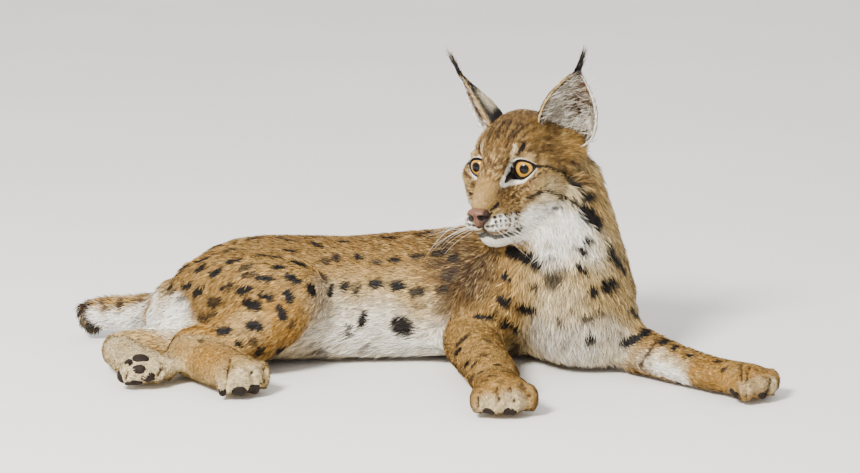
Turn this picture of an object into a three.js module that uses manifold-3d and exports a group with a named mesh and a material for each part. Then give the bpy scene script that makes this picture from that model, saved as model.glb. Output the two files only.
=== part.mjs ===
// A Eurasian lynx lying on its left hip, life size, as a still model. Millimetres, +Z up.
// The trunk lies along X with the tail at -X, and the chest, face and feet turn towards -Y.
// Each limb is a lofted tube along a curve. A later piece is cut back from the ones before it, so they meet
// face to face with a thin gap.
import * as THREE from "three";
import { mergeVertices } from "three/addons/utils/BufferGeometryUtils.js";
import Module from "manifold-3d";

const wasm = await Module();
wasm.setup();

const GAP = 0.3; // kept between touching pieces
const FLOOR_REACH = 1200; // half the side of the block that cuts the flats the animal rests on
const UP = new THREE.Vector3(0, 0, 1);
const point = (x, y, z) => new THREE.Vector3(x, y, z);

const COAT_TAN = { color: 0xb08a5a, roughness: 0.85, metalness: 0 };
const COAT_PALE = { color: 0xd9cfbf, roughness: 0.9, metalness: 0 };
const COAT_DARK = { color: 0x2a211b, roughness: 0.85, metalness: 0 };
const PAD_LEATHER = { color: 0x35291f, roughness: 0.6, metalness: 0 };
const NOSE_LEATHER = { color: 0xa8674f, roughness: 0.5, metalness: 0 };
const EYE_AMBER = { color: 0xc8973a, roughness: 0.1, metalness: 0 };

// Solids and booleans

function solidOf(geometry) {
  const bare = geometry.clone();
  for (const name of Object.keys(bare.attributes)) if (name !== "position") bare.deleteAttribute(name);
  const merged = mergeVertices(bare, 1e-4);
  const made = new wasm.Manifold(
    new wasm.Mesh({
      numProp: 3,
      vertProperties: merged.attributes.position.array,
      triVerts: new Uint32Array(merged.index.array),
    }),
  );
  return made;
}

function geometryOf(solid) {
  const mesh = solid.getMesh();
  const geometry = new THREE.BufferGeometry();
  geometry.setAttribute("position", new THREE.BufferAttribute(new Float32Array(mesh.vertProperties), 3));
  geometry.setIndex(new THREE.BufferAttribute(new Uint32Array(mesh.triVerts), 1));
  geometry.computeVertexNormals();
  return geometry;
}

const joined = (solids) => solids.reduce((whole, solid) => whole.add(solid));

function largestPiece(solid) {
  return solid.decompose().reduce((best, piece) => (piece.volume() > best.volume() ? piece : best));
}

// Lofts

// One cross-section of a limb: its centre, half-width, half-height and its turn about the limb, in degrees.
const station = (x, y, z, wide, high = wide, turn = 0) => ({ centre: point(x, y, z), wide, high, turn });

// The skin of a limb: at(t, angle, out) is the point at a share t of its length and an angle in degrees round it,
// from its left side over its top, `out` beyond the surface.
function skinOf(stations, { up = UP, square = 2 } = {}) {
  const centres = new THREE.CatmullRomCurve3(stations.map((s) => s.centre));
  const sizes = new THREE.CatmullRomCurve3(stations.map((s) => point(s.wide, s.high, s.turn)));
  const bulge = (value) => Math.sign(value) * Math.abs(value) ** (2 / square);
  const around = (centre, tangent, size, angle, out, share) => {
    const turn = THREE.MathUtils.degToRad(size.z);
    const side = new THREE.Vector3().crossVectors(up, tangent).normalize();
    const top = new THREE.Vector3().crossVectors(tangent, side).normalize();
    const p = centre.clone();
    p.addScaledVector(side.applyAxisAngle(tangent, turn), bulge(Math.cos(angle)) * (size.x + out) * share);
    return p.addScaledVector(top.applyAxisAngle(tangent, turn), bulge(Math.sin(angle)) * (size.y + out) * share);
  };
  const at = (t, degrees, out = 0) =>
    around(centres.getPoint(t), centres.getTangent(t), sizes.getPoint(t), THREE.MathUtils.degToRad(degrees), out, 1);
  return { centres, sizes, around, at };
}

// A closed tube through the stations, with rounded ends.
function limb(stations, { sides = 16, rings = 12, up = UP, grow = 0, capRings = 3, square = 2 } = {}) {
  const { centres, sizes, around } = skinOf(stations, { up, square });
  const positions = [];
  const faces = [];
  const ring = (centre, tangent, size, share) => {
    for (let i = 0; i < sides; i++) {
      const p = around(centre, tangent, size, (2 * Math.PI * (i + 0.5)) / sides, grow, share);
      positions.push(p.x, p.y, p.z);
    }
  };
  const cap = (t, outward) => {
    const size = sizes.getPoint(t);
    const tangent = centres.getTangent(t);
    const reach = Math.min(size.x, size.y) + grow;
    const steps = Array.from({ length: capRings }, (_, k) => ((k + 1) / (capRings + 1)) * (Math.PI / 2));
    const order = outward < 0 ? steps.slice().reverse() : steps;
    return { size, tangent, reach, order, centre: centres.getPoint(t), outward };
  };
  const capRing = (end) => {
    for (const a of end.order) {
      const centre = end.centre.clone().addScaledVector(end.tangent, end.outward * end.reach * Math.sin(a));
      ring(centre, end.tangent, end.size, Math.cos(a));
    }
  };
  const first = cap(0, -1);
  const last = cap(1, 1);
  capRing(first);
  for (let k = 0; k <= rings; k++) {
    const t = k / rings;
    ring(centres.getPoint(t), centres.getTangent(t), sizes.getPoint(t), 1);
  }
  capRing(last);
  const rows = positions.length / 3 / sides;
  for (let r = 0; r + 1 < rows; r++)
    for (let i = 0; i < sides; i++) {
      const a = r * sides + i;
      const b = r * sides + ((i + 1) % sides);
      faces.push(a, b, b + sides, a, b + sides, a + sides);
    }
  for (const [end, row, flip] of [
    [first, 0, true],
    [last, rows - 1, false],
  ]) {
    const pole = positions.length / 3;
    const tip = end.centre.clone().addScaledVector(end.tangent, end.outward * end.reach);
    positions.push(tip.x, tip.y, tip.z);
    for (let i = 0; i < sides; i++) {
      const a = row * sides + i;
      const b = row * sides + ((i + 1) % sides);
      faces.push(...(flip ? [pole, b, a] : [pole, a, b]));
    }
  }
  const geometry = new THREE.BufferGeometry();
  geometry.setAttribute("position", new THREE.Float32BufferAttribute(positions, 3));
  geometry.setIndex(faces);
  return solidOf(geometry);
}

// A ball squeezed to three radii along the axes of a frame.
function egg(frame, centre, radii, { across = 14, down = 10, grow = 0 } = {}) {
  const geometry = new THREE.SphereGeometry(1, across, down);
  geometry.rotateX(Math.PI / 2);
  geometry.scale(radii[0] + grow, radii[1] + grow, radii[2] + grow);
  geometry.translate(...centre);
  geometry.applyMatrix4(frame);
  return solidOf(geometry);
}

// The frame of something that points along `forward` and stands along `up`, at `origin`: x forward, y left, z up.
function frameAt(origin, forward, up = UP) {
  const f = forward.clone().normalize();
  const left = new THREE.Vector3().crossVectors(up, f).normalize();
  const top = new THREE.Vector3().crossVectors(f, left);
  return new THREE.Matrix4().makeBasis(f, left, top).setPosition(origin);
}

// Smooth fields for the head: a value below zero is inside.

const blend = (a, b, soft) => {
  const near = Math.max(soft - Math.abs(a - b), 0) / soft;
  return Math.min(a, b) - (near * near * soft) / 4;
};
const ball = (f, l, u, [cf, cl, cu], [rf, rl, ru]) => {
  const [x, y, z] = [f - cf, l - cl, u - cu];
  const k0 = Math.hypot(x / rf, y / rl, z / ru);
  const k1 = Math.hypot(x / rf ** 2, y / rl ** 2, z / ru ** 2);
  return k1 ? (k0 * (k0 - 1)) / k1 : -Math.min(rf, rl, ru);
};
const rod = (f, l, u, [af, al, au], [bf, bl, bu], ra, rb) => {
  const [x, y, z] = [f - af, l - al, u - au];
  const [dx, dy, dz] = [bf - af, bl - al, bu - au];
  const t = THREE.MathUtils.clamp((x * dx + y * dy + z * dz) / (dx * dx + dy * dy + dz * dz), 0, 1);
  return Math.hypot(x - dx * t, y - dy * t, z - dz * t) - (ra + (rb - ra) * t);
};

// A closed surface where the field is zero, with one vertex in each crossed cell of the grid.
function netOf(field, lines) {
  const [nx, ny, nz] = lines.map((axis) => axis.length);
  const id = (i, j, k) => i + nx * (j + ny * k);
  const place = (...cell) => cell.map((n, axis) => lines[axis][n]);
  const values = new Float64Array(nx * ny * nz);
  for (let k = 0; k < nz; k++)
    for (let j = 0; j < ny; j++) for (let i = 0; i < nx; i++) values[id(i, j, k)] = field(...place(i, j, k));
  const corners = [0, 1, 2, 3, 4, 5, 6, 7].map((c) => [c & 1, (c >> 1) & 1, c >> 2]);
  const edges = [];
  for (let a = 0; a < 8; a++) for (const bit of [1, 2, 4]) if (!(a & bit)) edges.push([a, a | bit]);
  const positions = [];
  const faces = [];
  const cellVertex = new Map();
  for (let k = 0; k + 1 < nz; k++)
    for (let j = 0; j + 1 < ny; j++)
      for (let i = 0; i + 1 < nx; i++) {
        const sum = [0, 0, 0];
        let hits = 0;
        for (const [a, b] of edges) {
          const [ca, cb] = [corners[a], corners[b]];
          const va = values[id(i + ca[0], j + ca[1], k + ca[2])];
          const vb = values[id(i + cb[0], j + cb[1], k + cb[2])];
          if (va < 0 === vb < 0) continue;
          const t = va / (va - vb);
          for (let m = 0; m < 3; m++) sum[m] += ca[m] + (cb[m] - ca[m]) * t;
          hits++;
        }
        if (!hits) continue;
        cellVertex.set(id(i, j, k), positions.length / 3);
        const [from, to] = [place(i, j, k), place(i + 1, j + 1, k + 1)];
        positions.push(...sum.map((v, m) => from[m] + ((to[m] - from[m]) * v) / hits));
      }
  const axes = [
    [[1, 0, 0], [0, 1, 0], [0, 0, 1]],
    [[0, 1, 0], [0, 0, 1], [1, 0, 0]],
    [[0, 0, 1], [1, 0, 0], [0, 1, 0]],
  ];
  for (let k = 1; k + 1 < nz; k++)
    for (let j = 1; j + 1 < ny; j++)
      for (let i = 1; i + 1 < nx; i++)
        for (const [d, e, g] of axes) {
          const here = values[id(i, j, k)];
          const next = values[id(i + d[0], j + d[1], k + d[2])];
          if (here < 0 === next < 0) continue;
          const around = [
            [0, 0], [1, 0], [1, 1], [0, 1],
          ].map(([p, q]) => cellVertex.get(id(i - e[0] * p - g[0] * q, j - e[1] * p - g[1] * q, k - e[2] * p - g[2] * q)));
          const [a, b, c, o] = here < 0 ? around : around.slice().reverse();
          faces.push(a, b, c, a, c, o);
        }
  const geometry = new THREE.BufferGeometry();
  geometry.setAttribute("position", new THREE.Float32BufferAttribute(positions, 3));
  geometry.setIndex(faces);
  return geometry;
}

// The floor and the assembly

const floor = (() => {
  const block = new THREE.BoxGeometry(FLOOR_REACH * 2, FLOOR_REACH * 2, FLOOR_REACH);
  block.translate(0, 0, -FLOOR_REACH / 2);
  return solidOf(block);
})();

const pieces = new Map(); // each piece so far: its finish, its solid, and that solid grown by the gap
const combed = []; // the locks so far, grown by the gap

// Adds one named piece. make(grow) gives its solid with every face moved out by grow.
function add(name, finish, make) {
  let body = make(0);
  for (const other of pieces.values()) body = body.subtract(other.grown);
  pieces.set(name, { finish, body: largestPiece(body.subtract(floor)), grown: make(GAP) });
}

// Fuses locks to a piece, once every piece is there. locks(grow) gives their solids.
function comb(name, locks) {
  const piece = pieces.get(name);
  let hair = joined(locks(0)).subtract(floor);
  for (const [other, { grown }] of pieces) if (other !== name) hair = hair.subtract(grown);
  for (const other of combed) hair = hair.subtract(other);
  piece.body = largestPiece(piece.body.add(hair));
  combed.push(joined(locks(GAP)));
}

// Locks of long coat

// One flat, tapered lock from its root, sunk a little into the body, along a bend to its tip.
function lock(path, wide, thick, facing, grow = 0) {
  const curve = new THREE.CatmullRomCurve3(path);
  const positions = [];
  const faces = [];
  const shares = [0.7, 1, 0.72];
  shares.forEach((share, r) => {
    const t = r / shares.length;
    const centre = curve.getPoint(t);
    const tangent = curve.getTangent(t);
    const across = new THREE.Vector3().crossVectors(tangent, facing).normalize();
    const rise = new THREE.Vector3().crossVectors(across, tangent).normalize();
    for (const [a, b] of [[1, 0], [0, 1], [-1, 0], [0, -1]]) {
      const p = centre.clone();
      p.addScaledVector(across, a * ((share * wide) / 2 + grow * 2));
      p.addScaledVector(rise, b * ((share * thick) / 2 + grow * 2));
      positions.push(p.x, p.y, p.z);
    }
  });
  const tip = path.at(-1).clone().addScaledVector(curve.getTangent(1), grow * 6);
  positions.push(tip.x, tip.y, tip.z);
  for (let i = 0; i < 4; i++) {
    const j = (i + 1) % 4;
    for (const r of [0, 4]) faces.push(r + j, r + i, r + j + 4, r + j + 4, r + i, r + i + 4);
    faces.push(8 + j, 8 + i, 12);
  }
  faces.push(3, 0, 2, 2, 0, 1);
  const geometry = new THREE.BufferGeometry();
  geometry.setAttribute("position", new THREE.Float32BufferAttribute(positions, 3));
  geometry.setIndex(faces);
  return solidOf(geometry);
}

// A repeatable random number from 0 to 1 for each whole number.
const draw = (n) => {
  const x = Math.sin(n * 127.1 + 11.7) * 43758.5453;
  return x - Math.floor(x);
};
const vary = (n, amount) => 1 + amount * (2 * draw(n) - 1);

const LOCK_SINK = 4; // how deep the root of a lock starts in the body

// Overlapping tiers of locks on a limb's skin. Each tier has the share and angle of its first and last root, the
// change in both from a root to its tip, how many locks, and their width.
const locksOn = (skin, tiers, seed) => (grow) =>
  tiers.flatMap(({ first, last, run, count, wide, thick }, tier) =>
    Array.from({ length: count }, (_, i) => {
      const n = seed + tier * 40 + i;
      const mix = (i + 0.6 * (draw(n) - 0.5)) / (count - 1);
      const [t, angle] = [0, 1].map((axis) => THREE.MathUtils.lerp(first[axis], last[axis], mix));
      const long = vary(n + 0.5, 0.15);
      const path = [-LOCK_SINK, thick * 0.8, thick * 1.1].map((out, k) =>
        skin.at(THREE.MathUtils.clamp(t + (run[0] * long * k) / 2, 0, 1), angle + (run[1] * long * k) / 2, out),
      );
      const facing = skin.at(t, angle, 1).sub(skin.at(t, angle)).normalize();
      return lock(path, wide * vary(n, 0.15), thick, facing, grow);
    }),
  );

// Head. Its own frame is x forward, y to the animal's left, z up, with the origin midway between the pupils.

const PUPILS = point(77, -62, 229);
const HEAD_YAW = THREE.MathUtils.degToRad(30); // turned this far to the animal's right of the -Y direction
const HEAD_ROLL = THREE.MathUtils.degToRad(6); // left side raised
const headForward = point(-Math.sin(HEAD_YAW), -Math.cos(HEAD_YAW), 0);
const headUp = UP.clone().applyAxisAngle(headForward, HEAD_ROLL);
const headFrame = frameAt(PUPILS, headForward, headUp);

const EYE_RADIUS = 13.2;
const EYE_APART = 31; // from the midline to each pupil
const eyeCentre = (side) => [-12, side * (EYE_APART - 1.5), 0];
const LID_THICK = 2;

const headShape = (f, lateral, u) => {
  const l = Math.abs(lateral);
  let d = ball(f, l, u, [-54, 0, 9], [56, 52, 51]); // braincase
  d = blend(d, ball(f, l, u, [-24, 0, 14], [32, 38, 30]), 18); // forehead
  d = blend(d, ball(f, l, u, [-36, 36, -28], [35, 22, 34]), 20); // cheek
  d = blend(d, ball(f, l, u, [-17, 36, -9], [23, 18, 15]), 12); // cheekbone
  d = blend(d, ball(f, l, u, [-68, 40, 16], [24, 24, 24]), 14); // root of the ear
  d = blend(d, rod(f, l, u, [-8, 0, 4], [43, 0, -35], 17, 12), 16); // bridge of the nose
  d = blend(d, rod(f, l, u, [-30, 0, -42], [21, 0, -50], 36, 22), 18); // muzzle
  d = blend(d, ball(f, l, u, [30, 12.5, -55], [20, 16, 14.5]), 9); // whisker pad
  d = blend(d, rod(f, l, u, [18, 4, -72], [-34, 26, -60], 14, 20), 12); // lower jaw
  d = blend(d, ball(f, l, u, [14, 0, -75], [20, 15, 13]), 7); // chin
  const [ef, el, eu] = eyeCentre(1);
  d = -blend(-d, ball(f, l, u, [ef + 13, el - 1, eu], [14, 16, 10]), 12); // eye hollow
  return blend(d, ball(f, l, u, [ef, el, eu], Array(3).fill(EYE_RADIUS + LID_THICK)), 6); // lids
};

// The slit of the eye seen along the gaze: a leaf shape with its inner corner lower than its outer one.
function eyeSlit(side) {
  const slit = new THREE.Shape();
  const inner = [-17 * side, -10];
  const outer = [15 * side, 2];
  slit.moveTo(...inner);
  slit.bezierCurveTo(-9 * side, 8, 4 * side, 13, ...outer);
  slit.bezierCurveTo(9 * side, -10, -5 * side, -14, ...inner);
  const geometry = new THREE.ExtrudeGeometry(slit, { depth: 30, bevelEnabled: false, curveSegments: 5 });
  geometry.applyMatrix4(new THREE.Matrix4().makeBasis(point(0, 1, 0), point(0, 0, 1), point(1, 0, 0)));
  geometry.translate(...eyeCentre(side));
  geometry.applyMatrix4(headFrame);
  return solidOf(geometry);
}

// The line of the mouth: a thin curved slot, open to the front, from one corner to the other.
function mouthSlot() {
  const half = 0.8;
  const right = [point(27, -67, 0), point(20, -72, 0), point(14, -72, 0), point(7, -69, 0)];
  const left = right.map((p) => point(-p.x, p.y, 0)).reverse();
  const along = new THREE.CatmullRomCurve3([...right, point(0, -63, 0), ...left]).getPoints(20);
  const band = new THREE.Shape([
    ...along.map((p) => new THREE.Vector2(p.x, p.y + half)),
    ...along.reverse().map((p) => new THREE.Vector2(p.x, p.y - half)),
  ]);
  const geometry = new THREE.ExtrudeGeometry(band, { depth: 60, bevelEnabled: false });
  geometry.applyMatrix4(new THREE.Matrix4().makeBasis(point(0, 1, 0), point(0, 0, 1), point(1, 0, 0)));
  geometry.translate(2, 0, 0);
  geometry.applyMatrix4(headFrame);
  return solidOf(geometry);
}

// Grid lines from one end to the other, whose spacing changes evenly from the first step to the last.
function gridLines(from, to, firstStep, lastStep) {
  const count = Math.round((to - from) / ((firstStep + lastStep) / 2));
  const steps = Array.from({ length: count }, (_, i) => firstStep + ((lastStep - firstStep) * (i + 0.5)) / count);
  const scale = (to - from) / steps.reduce((sum, step) => sum + step, 0);
  const lines = [from];
  for (const step of steps) lines.push(lines.at(-1) + step * scale);
  return lines;
}

const NET_MARGIN = 2.5; // a net only follows its field roughly, so it is grown by more than the gap
const headGrid = [gridLines(-126, 74, 13, 6.5), gridLines(-75, 75, 7.5, 7.5), gridLines(-102, 76, 6.3, 11)];

function head(grow) {
  const net = netOf((f, l, u) => headShape(f, l, u) - grow * NET_MARGIN, headGrid);
  net.applyMatrix4(headFrame);
  const flesh = solidOf(net);
  return grow ? flesh : flesh.subtract(eyeSlit(1)).subtract(eyeSlit(-1)).subtract(mouthSlot());
}

const eye = (side) => (grow) =>
  egg(headFrame, eyeCentre(side), Array(3).fill(EYE_RADIUS), { across: 12, down: 8, grow });

// Nose leather: a soft triangle with the septum below and a nostril sunk in each side.
function nose(grow) {
  const coarse = { across: 7, down: 5, grow };
  const wing = (side) => egg(headFrame, [51, side * 6.5, -45], [9, 7.5, 8], coarse);
  const top = egg(headFrame, [52, 0, -41], [8.5, 10, 6], coarse);
  const septum = egg(headFrame, [51, 0, -52], [7, 4, 9], coarse);
  const leather = joined([wing(1), wing(-1), top, septum]);
  if (grow) return leather;
  const nostril = (side) => egg(headFrame, [58, side * 8, -47], [5, 3.4, 2.6], { across: 6, down: 4 });
  return leather.subtract(nostril(1)).subtract(nostril(-1));
}

// Ear: an upright leaf, hollow in front, that leans out and a little forward.
const EAR_TALL = 80;
const EAR_WIDTHS = [31, 33, 32, 27, 17, 6]; // half-widths from root to tip
const EAR_DEPTHS = [22, 22, 19, 13, 7, 4];
const EAR_WALL = 3;
const EARS = {
  ear_left: { side: 1, root: point(-66, 48, 26), turn: 28 },
  ear_right: { side: -1, root: point(-74, -37, 30), turn: 52 },
};
const TUFT_LONG = 32;

const earRise = (side) => point(0.165, 0.394 * side, 0.9).normalize();

const ear = ({ side, root, turn }) => (grow) => {
  const rise = earRise(side);
  const angle = THREE.MathUtils.degToRad(turn);
  const facing = point(Math.cos(angle), side * Math.sin(angle), 0);
  const up = facing.clone().transformDirection(headFrame);
  const shell = (shift, wall, stretch) => {
    const stations = EAR_WIDTHS.map((wide, i) => {
      const t = i / (EAR_WIDTHS.length - 1);
      const c = root.clone().addScaledVector(rise, t * EAR_TALL * stretch);
      c.addScaledVector(facing, (shift * wide) / EAR_WIDTHS[1]).applyMatrix4(headFrame);
      return station(c.x, c.y, c.z, Math.max(wide - wall, 1), Math.max(EAR_DEPTHS[i] - wall * 0.6, 1));
    });
    return limb(stations, { sides: 11, rings: 6, up, capRings: 1, grow });
  };
  const outer = shell(0, 0, 1);
  return grow ? outer : outer.subtract(shell(15, EAR_WALL, 0.95));
};

// The tuft: narrow locks that fan out a little from the tip of the ear.
const tuft = ({ side, root }) => (grow) => {
  const rise = earRise(side);
  const tip = root.clone().addScaledVector(rise, EAR_TALL);
  const forward = point(1, 0, 0).transformDirection(headFrame);
  return [-1, 0, 1].map((fan) => {
    const path = [-4, TUFT_LONG * 0.45, TUFT_LONG * (1 - 0.12 * Math.abs(fan))].map((along, i) => {
      const spread = point(fan * i * 1.6 - i * 1.5, side * i * 2, 0);
      return tip.clone().addScaledVector(rise, along).add(spread).applyMatrix4(headFrame);
    });
    return lock(path, 6.5, 4.5, forward, grow);
  });
};

// Cheek ruff: locks that sweep back and down from the cheeks, wider out on the side that the neck fills.
const CHEEK = {
  heart: [-42, 0, -24], // the middle of the fan of roots
  from: 12,
  to: -72,
  count: 5,
  sink: 3,
  long: 42,
  wide: 19,
  thick: 6,
  sweep: { 1: [-0.34, 0.82, -0.46], "-1": [-0.68, -0.34, -0.65] },
};

const cheekLocks = (grow) =>
  [1, -1].flatMap((side) =>
    Array.from({ length: CHEEK.count }, (_, i) => {
      const angle = THREE.MathUtils.degToRad(CHEEK.from + ((CHEEK.to - CHEEK.from) * i) / (CHEEK.count - 1));
      const out = point(0, side * Math.cos(angle), Math.sin(angle));
      const root = point(...CHEEK.heart);
      while (headShape(root.x, root.y, root.z) < -CHEEK.sink) root.add(out);
      const sweep = point(...CHEEK.sweep[side]).normalize();
      const path = [0, 0.5, 1].map((t) => {
        const p = root.clone().addScaledVector(sweep, t * CHEEK.long * vary(i + side, 0.12));
        return p.add(point(0, 0, -4 * t * t)).applyMatrix4(headFrame);
      });
      return lock(path, CHEEK.wide, CHEEK.thick, out.transformDirection(headFrame), grow);
    }),
  );

// Trunk, neck and tail

const TRUNK = [
  station(-286, 10, 56, 46, 36),
  station(-248, 8, 62, 76, 62),
  station(-205, 6, 65, 90, 73),
  station(-150, 10, 63, 89, 75),
  station(-90, 16, 60, 84, 76),
  station(-30, 24, 62, 89, 77),
  station(30, 32, 65, 97, 77),
  station(90, 30, 71, 98, 81),
  station(130, 20, 72, 86, 80),
];
const CHEST = [
  station(172, -40, 20, 67, 70),
  station(165, -42, 60, 71, 84),
  station(154, -31, 94, 75, 84),
  station(147, -18, 120, 66, 70),
  station(144, -12, 134, 44, 44),
];
const NECK = [
  station(148, -13, 108, 68, 68),
  station(147, -15, 138, 71, 73),
  station(140, -10, 172, 64, 63),
  station(134, 0, 210, 56, 52),
];

const TRUNK_SHAPE = { square: 2.35 };
const UPRIGHT = { up: point(0, -1, 0) }; // angle 0 is -X, 90 is -Y and 180 is +X

const NECK_TIERS = [
  { first: [0.9, 60], last: [0.9, 200], run: [-0.36, 6], count: 6, wide: 27, thick: 6 },
  { first: [0.68, 40], last: [0.68, 215], run: [-0.34, 6], count: 7, wide: 27, thick: 6 },
];
const CHEST_TIERS = [
  { first: [0.78, 75], last: [0.78, 175], run: [-0.3, 5], count: 5, wide: 30, thick: 6 },
  { first: [0.52, 62], last: [0.52, 150], run: [-0.32, 5], count: 5, wide: 30, thick: 6 },
  { first: [0.24, 50], last: [0.24, 140], run: [-0.3, 5], count: 5, wide: 30, thick: 6 },
];
const BELLY_TIERS = [{ first: [0.3, 204], last: [0.74, 204], run: [0.015, 20], count: 9, wide: 38, thick: 6 }];

const torso = (grow) => limb(TRUNK, { sides: 20, rings: 14, ...TRUNK_SHAPE, grow });
const chest = (grow) => limb(CHEST, { sides: 18, rings: 6, capRings: 2, ...UPRIGHT, grow });
const neck = (grow) => limb(NECK, { sides: 16, rings: 6, capRings: 2, ...UPRIGHT, grow });

const tail = (grow) =>
  limb(
    [
      station(-285, 18, 60, 24, 24),
      station(-318, 38, 45, 19, 18),
      station(-352, 56, 36, 17, 18),
      station(-388, 68, 34, 16, 20),
    ],
    { sides: 12, rings: 6, capRings: 2, grow },
  );

const tailTip = (grow) =>
  limb(
    [station(-394, 72, 42, 14, 13), station(-401, 74, 31, 13, 13), station(-395, 73, 19, 11, 11), station(-382, 70, 15, 9, 9)],
    { sides: 9, rings: 4, capRings: 1, ...UPRIGHT, grow },
  );

add("torso", COAT_TAN, torso);
add("chest", COAT_TAN, chest);
add("tail", COAT_PALE, tail);
add("tail_tip", COAT_DARK, tailTip);

add("neck", COAT_TAN, neck);
for (const side of [1, -1]) add(side > 0 ? "eye_left" : "eye_right", EYE_AMBER, eye(side));
add("nose", NOSE_LEATHER, nose);
add("head", COAT_TAN, head);
for (const [name, shape] of Object.entries(EARS)) add(name, COAT_TAN, ear(shape));

// Legs

const LEGS = {
  fore_right: {
    upper: [
      station(118, 0, 138, 34),
      station(106, -26, 118, 46),
      station(90, -42, 92, 51, 50),
      station(70, -48, 66, 50, 48),
      station(54, -44, 46, 44, 42),
    ],
    lower: [
      station(50, -15, 40, 38, 38),
      station(46, -70, 37, 37, 36),
      station(52, -120, 33, 34, 32),
      station(62, -168, 29, 31, 28),
      station(69, -200, 26, 32, 26),
    ],
    paw: { from: point(69, -205, 24), to: point(77, -258, 22), wide: 36, high: 23, toe: 17 },
  },
  fore_left: {
    upper: [
      station(158, 62, 126, 38),
      station(184, 38, 108, 46),
      station(196, 10, 84, 43),
      station(198, -16, 60, 38),
      station(196, -42, 42, 34),
    ],
    lower: [
      station(190, -46, 36, 34, 34),
      station(226, -82, 29, 31, 30),
      station(262, -118, 23, 29, 24),
      station(300, -155, 20, 27, 21),
      station(316, -170, 19, 28, 20),
    ],
    paw: { from: point(316, -171, 20), to: point(345, -196, 20), wide: 33, high: 21, toe: 15 },
  },
  hind_right: {
    upper: [
      station(-262, -14, 74, 36, 44),
      station(-228, -34, 76, 48, 56),
      station(-188, -52, 78, 50, 56),
      station(-152, -66, 84, 42, 44),
    ],
    lower: [
      station(-150, -70, 84, 36, 38),
      station(-172, -86, 58, 34, 34),
      station(-210, -98, 40, 30, 32),
      station(-262, -100, 30, 29, 30),
    ],
    paw: { from: point(-266, -106, 28), to: point(-210, -180, 24), wide: 32, high: 24, toe: 15, heel: 29 },
  },
  hind_left: {
    upper: [station(-288, 8, 42, 40, 40), station(-262, -14, 40, 44, 40), station(-205, -30, 34, 38, 30)],
    lower: [station(-215, -35, 28, 30, 26), station(-290, -52, 26, 24, 22), station(-345, -66, 24, 22, 21)],
    paw: { from: point(-350, -70, 22), to: point(-316, -140, 22), wide: 32, high: 20, toe: 15, heel: 22 },
  },
};

// A paw: the foot's own tube with four toes set in an arc at its front.
const paw = (shape) => (grow) => {
  const { from, to, wide, high, toe, heel = high } = shape;
  const forward = to.clone().sub(from).setZ(0);
  const frame = frameAt(to, forward);
  const foot = limb(
    [
      station(from.x, from.y, from.z, heel, heel),
      station((from.x + to.x) / 2, (from.y + to.y) / 2, (from.z + to.z) / 2, (heel + wide) / 2, (heel + high) / 2),
      station(to.x, to.y, to.z, wide, high),
    ],
    { sides: 11, rings: 3, capRings: 2, grow },
  );
  const toes = [-1.5, -0.5, 0.5, 1.5].map((n) => {
    const ahead = Math.abs(n) < 1 ? 20 : 12;
    return egg(frame, [ahead, n * wide * 0.52, -high * 0.12], [toe, toe * 0.72, high * 0.82], { across: 8, down: 5, grow });
  });
  return joined([foot, ...toes]);
};

// Leather pads that show at the front of the toes, and on the turned-up sole of the left hind foot:
// the middle of each, and its half-width.
const PADS = {
  fore_right: [[61, -286, 6, 6], [84, -287, 6, 6]],
  fore_left: [[327, -217, 9, 7], [352, -219, 9, 7]],
  hind_right: [[-225, -205, 8, 7], [-204, -205, 8, 8], [-187, -197, 9, 8]],
  hind_left: [
    [-317, -153, 34, 8], [-331, -165, 30, 6], [-316, -168, 25, 8],
    [-308, -167, 16, 8], [-325, -163, 8, 8], [-339, -162, 14, 7],
  ],
};
const pad = ([x, y, z, half]) => (grow) =>
  egg(frameAt(point(x, y, z), point(0, -1, 0)), [0, 0, 0], [half, half, half * 0.85], { across: 7, down: 5, grow });

for (const [leg, shape] of Object.entries(LEGS)) {
  add(`${leg}_upper`, COAT_TAN, (grow) => limb(shape.upper, { sides: 14, rings: 7, grow }));
  add(`${leg}_lower`, COAT_TAN, (grow) => limb(shape.lower, { sides: 12, rings: 7, grow }));
  add(`${leg}_paw`, COAT_PALE, paw(shape.paw));
  for (const [i, at] of PADS[leg].entries()) add(`${leg}_pad_${i + 1}`, PAD_LEATHER, pad(at));
}

// Locks, on the pieces that carry them
for (const [name, shape] of Object.entries(EARS)) comb(name, tuft(shape));
comb("torso", locksOn(skinOf(TRUNK, TRUNK_SHAPE), BELLY_TIERS, 500));
comb("chest", locksOn(skinOf(CHEST, UPRIGHT), CHEST_TIERS, 300));
comb("neck", locksOn(skinOf(NECK, UPRIGHT), NECK_TIERS, 100));
comb("head", cheekLocks);

const lynx = new THREE.Group();
for (const [name, { body, finish }] of pieces) {
  const mesh = new THREE.Mesh(geometryOf(body), new THREE.MeshStandardMaterial(finish));
  mesh.name = name;
  lynx.add(mesh);
}

// The origin is under the middle of the whole animal, on the floor.
const whole = new THREE.Box3().setFromObject(lynx);
const middle = whole.getCenter(new THREE.Vector3());
lynx.position.set(-middle.x, -middle.y, 0);

export default lynx;
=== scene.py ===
# A Eurasian lynx, life size, lying on one hip with its head raised and turned.
# Lengths are millimetres on a plan of the lying animal, with X along the trunk, the camera on the -Y side and
# Z up from the floor. Finished meshes are in metres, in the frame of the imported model.
from math import cos, pi, radians, sin

import bmesh
import bpy
import numpy as np
from mathutils import Matrix, Vector, noise
from mathutils.bvhtree import BVHTree


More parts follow.
